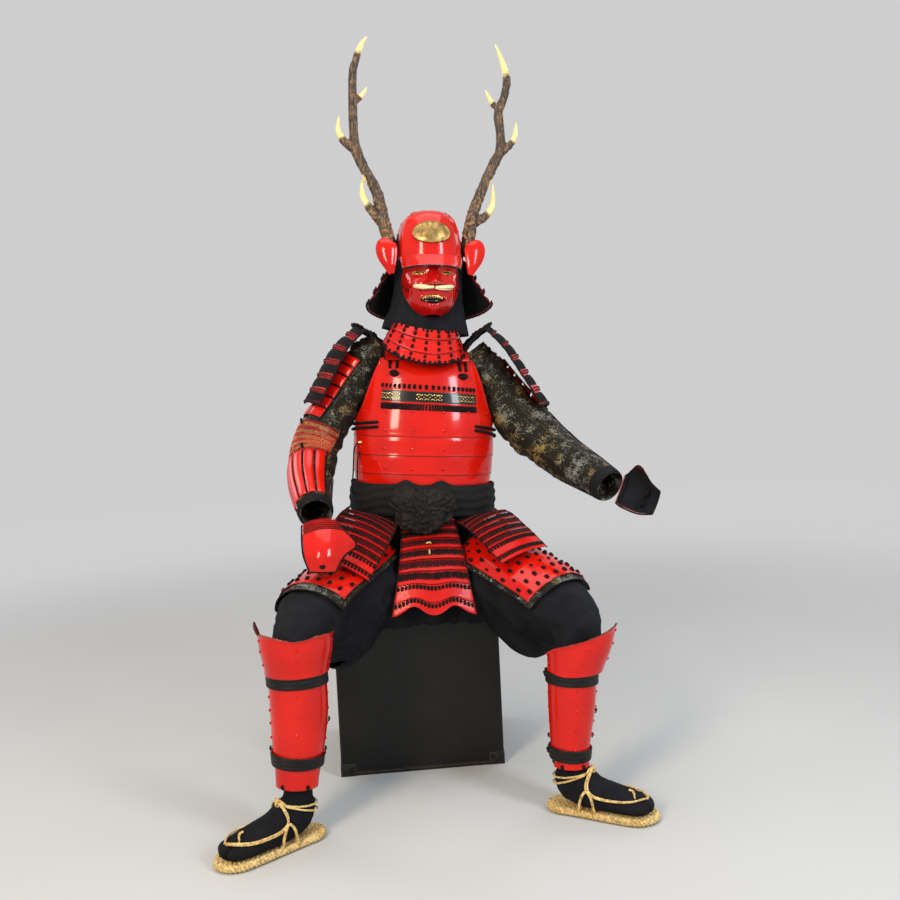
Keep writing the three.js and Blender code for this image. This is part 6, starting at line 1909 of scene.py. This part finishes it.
def hood():
    skin = tube(HOOD)
    rows, cols = 70, 84
    t, a = round_grid(rows, cols)
    fall = rough(rolled(a, t, 90, 320, (1, 1, 0.22)), 34, 5)
    slack = rough(rolled(a, t, 90, 320, (0.5, 0.5, 1)), 44, 15)
    low = smooth(t, 0.5, 0.9)
    side = np.abs((a + 180) % 360 - 180)
    full = 15 * bump(side, 88, 34) * bump(t, 0.5, 0.34) + 13 * smooth(t, 0.62, 1)
    out = 1.5 + full - (0.6 + 6.5 * low) * (1 - np.minimum(np.abs(fall) * 2.3, 1)) - 3 * low * np.abs(slack)
    grid = skin(a, t, out)
    points, faces = opened(grid.reshape(-1, 3), grid_faces(rows, cols, True), [(0, -76, 62, 70)], behind=0)
    obj = skin_of("hood_cloth", points, faces, COTTON, "hood", laid_out(rows, cols, 0.55, 0.33), HEAD)
    thickened(obj, 2, grid)


def mask_relief(a, t):
    """A fierce face: brows, long nose with wings, full cheeks, drawn-back lips and a cleft chin."""
    z = row_at(MASK, t)["z"]
    side = np.abs(a)
    ridge = smooth(-z, 22, 72) ** 1.15 * smooth(z, -90, -77)
    nose = 32 * ridge * bump(a, 0, 7 + 5.5 * smooth(-z, 40, 76)) ** 1.2
    wing = 7.5 * bump(side, 13.5, 5.5) * bump(z, -76, 8)
    nostril = -6 * bump(side, 8.5, 3.4) * bump(z, -83.5, 3.6)
    brow = 7.5 * bump(z, -27 - 0.12 * (side - 30), 5.5) * smooth(side, 8, 18) * smooth(66 - side, 0, 16)
    furrow = -2 * bump(side, 5.5, 2) * bump(z, -30, 10)
    socket = -7 * bump(z, -41, 8) * bump(side, 29, 16)
    lid = 1.6 * bump(np.hypot((side - 29) / 12, (z + 41) / 6), 1.1, 0.3)
    cheek = 9.5 * bump(side, 42, 14) * bump(z, -69, 15)
    line = 13 + 0.62 * (-z - 74)
    fold = -4.6 * bump(side, line, 3.8) * smooth(-z, 72, 82) * smooth(z, -128, -112)
    lip = lambda at, high, wide: high * bump(z - at, 0, wide) * smooth(36 - side, 0, 9)
    lips = lip(-96 + 0.05 * side, 3.6, 3) + lip(-124 + 0.1 * side, 5, 4.2)
    inside = -3.5 * bump(z, -110, 10) * smooth(34 - side, 0, 8)
    chin = 9 * bump(z, -140, 12) * bump(side, 9, 15) - 2.4 * bump(a, 0, 2.6) * bump(z, -142, 11)
    crease = 0.9 * np.sin((side * 0.34 + z * 0.16) * 1.9) * bump(side, 52, 13) * bump(z, -88, 24)
    edge = 1.6 * smooth(side, row_at(MASK, t)["reach"] - 5, row_at(MASK, t)["reach"])
    return nose + wing + nostril + brow + furrow + socket + lid + cheek + fold + lips + inside + chin + crease + edge


MASK_SKIN = tube(MASK, relief=mask_relief)
EYES, MOUTH = [(-38, -41, 14, 3.6), (38, -41, 14, 3.6)], (-2, -110, 33, 12)


def mask():
    rows, cols = 88, 92
    t, u = spaced(0, 1, rows)[:, None], spaced(-1, 1, cols)[None, :]
    grid = MASK_SKIN(u * row_at(MASK, t)["reach"], t)
    points, faces = opened(grid.reshape(-1, 3), grid_faces(rows, cols), [*EYES, MOUTH], behind=-60)
    uv = laid_out(rows, cols, 0.22, 0.14, wrap=False) - (0.11, 0)
    thickened(skin_of("mask_face", points, faces, MASK_RED, "mask", uv, HEAD), 2.4, grid)
    # gilt on the eyelids, gold teeth, and black rods behind the mouth as painted shade in its hollow
    lids, teeth, dark, cords = Form(HEAD), Form(HEAD), Form(HEAD), Form(HEAD)
    face = grid.reshape(-1, 3)
    face = face[face[:, 1] < -60]

    def on_face(x, z, out=0):
        """The point of the face at x and z."""
        found = [face[np.argmin(np.hypot(face[:, 0] - p, face[:, 2] - q)), 1] for p, q in zip(x, z)]
        return np.stack([x, np.array(found) - out, z], -1)

    turn = np.radians(spaced(0, 360, 44, endpoint=False))
    for x, z, wide, high in EYES:
        ring = on_face(x + (wide + 0.6) * np.cos(turn), z + (high + 0.6) * np.sin(turn), 0.2)
        ring[:, 1] = (ring[:, 1] + np.roll(ring[:, 1], 1) + np.roll(ring[:, 1], -1)) / 3
        lids.rod(ring, 1.15, sides=8, closed=True)
        slit = spaced(-0.86, 0.86, 15)
        line = on_face(x + wide * slit, z - 0.6 + 0 * slit, -2.6)
        line[:, 1] = np.convolve(np.pad(line[:, 1], 2, "edge"), np.ones(5) / 5, "valid")
        lids.rod(line, 2.1 * np.sqrt(1 - (slit * 1.05) ** 2 * 0.9), sides=8)
    lids.piece("mask_eyelids", GILT, crisp=0)
    x0, z0, wide, high = MOUTH
    for k in range(9):
        x = x0 + (k - 4) * 6.3
        top = z0 + high * math.sqrt(max(0, 1 - ((x - x0) / wide) ** 2)) + 2
        y = on_face([x], [-98])[0, 1] + 5.5
        s = spaced(0, 1, 7)
        path = np.stack([x + 0 * s, y - 1 * np.sin(np.pi * s), top - 10.5 * s], -1)
        teeth.rod(path, [3, 3.2, 3.2, 3.1, 3, 2.7, 1.9], sides=10, flat=0.6)
    teeth.piece("mask_teeth", GILT, crisp=0)
    # black rods set behind the mouth opening: painted shade inside it
    s = spaced(-1, 1, 26)
    for z in (z0 + 4, z0 - 4):
        back = np.stack([x0 + 34 * s, on_face([x0], [-98])[0, 1] + 13 + 16 * s**2, z + 0 * s], -1)
        dark.rod(back, 7, sides=8)
    dark.piece("mask_mouth_painted_shade", BLACK, crisp=0)
    for sign in (-1, 1):
        path = [(sign * 58, 0.46, 2.2), (sign * 66, 0.4, 2.2), (sign * 76, 0.34, 2.4), (sign * 86, 0.3, 1),
            (sign * 98, 0.26, -2)]
        laced_cord(cords, on_surface(tube(MASK),
            [(a_, t_, o + 7 * bump(abs(a_), 60, 8)) for a_, t_, o in path], 40), 1.7, 6)
        at = tube(MASK)(sign * 58, 0.46, 6.5)
        knot(cords, at, unit(at - np.array([0, -20, -78])), (0, 0, 1), 3.4)
    cords.piece("mask_cords", WINE_LACING)


def moustache():
    """Two locks of pale hair that spread from under the nose."""
    form, dice = Form(HEAD), np.random.default_rng(5)
    s, line = spaced(0, 1, 9), spaced(0, 1, 300)
    for sign in (-1, 1):
        for _ in range(95):
            side, lift = dice.normal(0, 0.5), dice.normal(0, 0.5)
            reach = 0.9 + 0.12 * dice.random()
            angle = sign * (1.5 + 37 * s * reach)
            spread = 2.4 + 6 * s**0.8 - 3.4 * s**5
            z = -92.5 + 9.5 * s**1.3 - 1.5 * np.sin(np.pi * s) + spread * lift + 0.35 * np.sin(9 * s
                + 7 * lift)
            t = np.interp(-z, -row_at(MASK, line)["z"], line)
            path = tube(MASK)(angle, t, 11.5 - 2.5 * s + spread * side * 0.8)
            form.rod(path, 1.25 - 0.4 * s**3, sides=4)
    form.piece("moustache_hair", HAIR, "moustache")


# ---- antlers


def antler_pair():
    for name, branches in ANTLER.items():
        raw, paths = Form(HEAD), []
        for label, tab in branches.items():
            s = spaced(0, 1, len(tab["r"]))
            r = tab["r"] * (1.06 + 0.12 * bump(s, 0.6, 0.3)) + 0.7
            filled(raw, tube({**{k: tab[k] for k in "xyz"}, "side": r, "front": r, "back": r}),
                12 * len(s), 16)
            paths.append((placed(centre_at(tab, spaced(0, 1, 80)), HEAD), (0.8, 0.9)
                if label == "beam" else (0.3, 0.62)))
        points, faces = remeshed(raw, 3.2)
        points = relaxed(points, faces, 6)
        out = normals_of(points, faces)
        away = [np.linalg.norm(points[:, None] - path[None], axis=-1) for path, _ in paths]
        own = np.argmin([a.min(axis=1) for a in away], axis=0)
        tip = np.choose(own, [smooth(a.argmin(axis=1) / 79, *span) for a, (_, span) in zip(away, paths)])
        base = placed(np.array([branches["beam"][k][0] for k in "xyz"]), HEAD)
        near = np.linalg.norm(points - base, axis=1)
        groove = rough(points * np.array([1, 1, 0.16]), 7, 3, 2)
        pearl = np.clip(rough(points, 8.5, 11, 1) * 2.2, 0, 1)
        knob = pearl * (0.35 + 0.65 * bump(near, 60, 110)) * (1 - tip)
        points = points + out * ((1 - 0.85 * tip) * (1.5 * groove - 0.4) + 2.4 * knob + 3.2 * bump(near, 30,
            9))[:, None]
        skin_of(f"antler_horn_{name}", points, faces, ANTLER_FINISH, f"antler_{name}", tip=tip, knob=knob)
        # where it is bound to the helmet
        cords = Form(HEAD)
        start, axis = centre_at(branches["beam"], 0.02), along_at(branches["beam"], 0.03)
        left = unit(np.cross(axis, [0, 1, 0]))
        turn = np.radians(spaced(0, 360 * 4, 120))[:, None]
        r = branches["beam"]["r"][0] + 3
        coil = left * (r * np.cos(turn)) + np.cross(axis, left) * (r * np.sin(turn))
        laced_cord(cords, start + axis * (turn / (2 * np.pi) * 5.2 - 4) + coil, 2.6, 8)
        cords.piece(f"antler_binding_{name}", LACING)


# ---- the suit


chest()
trousers()
cuirass()
throat_guard()
sash()
sash_knot()
for panel in SKIRT:
    skirt_panel(panel)
for side in SIDES:
    sleeve(side)
    thigh_guard(side)
    arm_plates(side)
    hand_guard(side)
    shoulder_guard(side)
    shin(side)
    sock(side)
    sandal(side)
helmet()
hood()
mask()
moustache()
antler_pair()
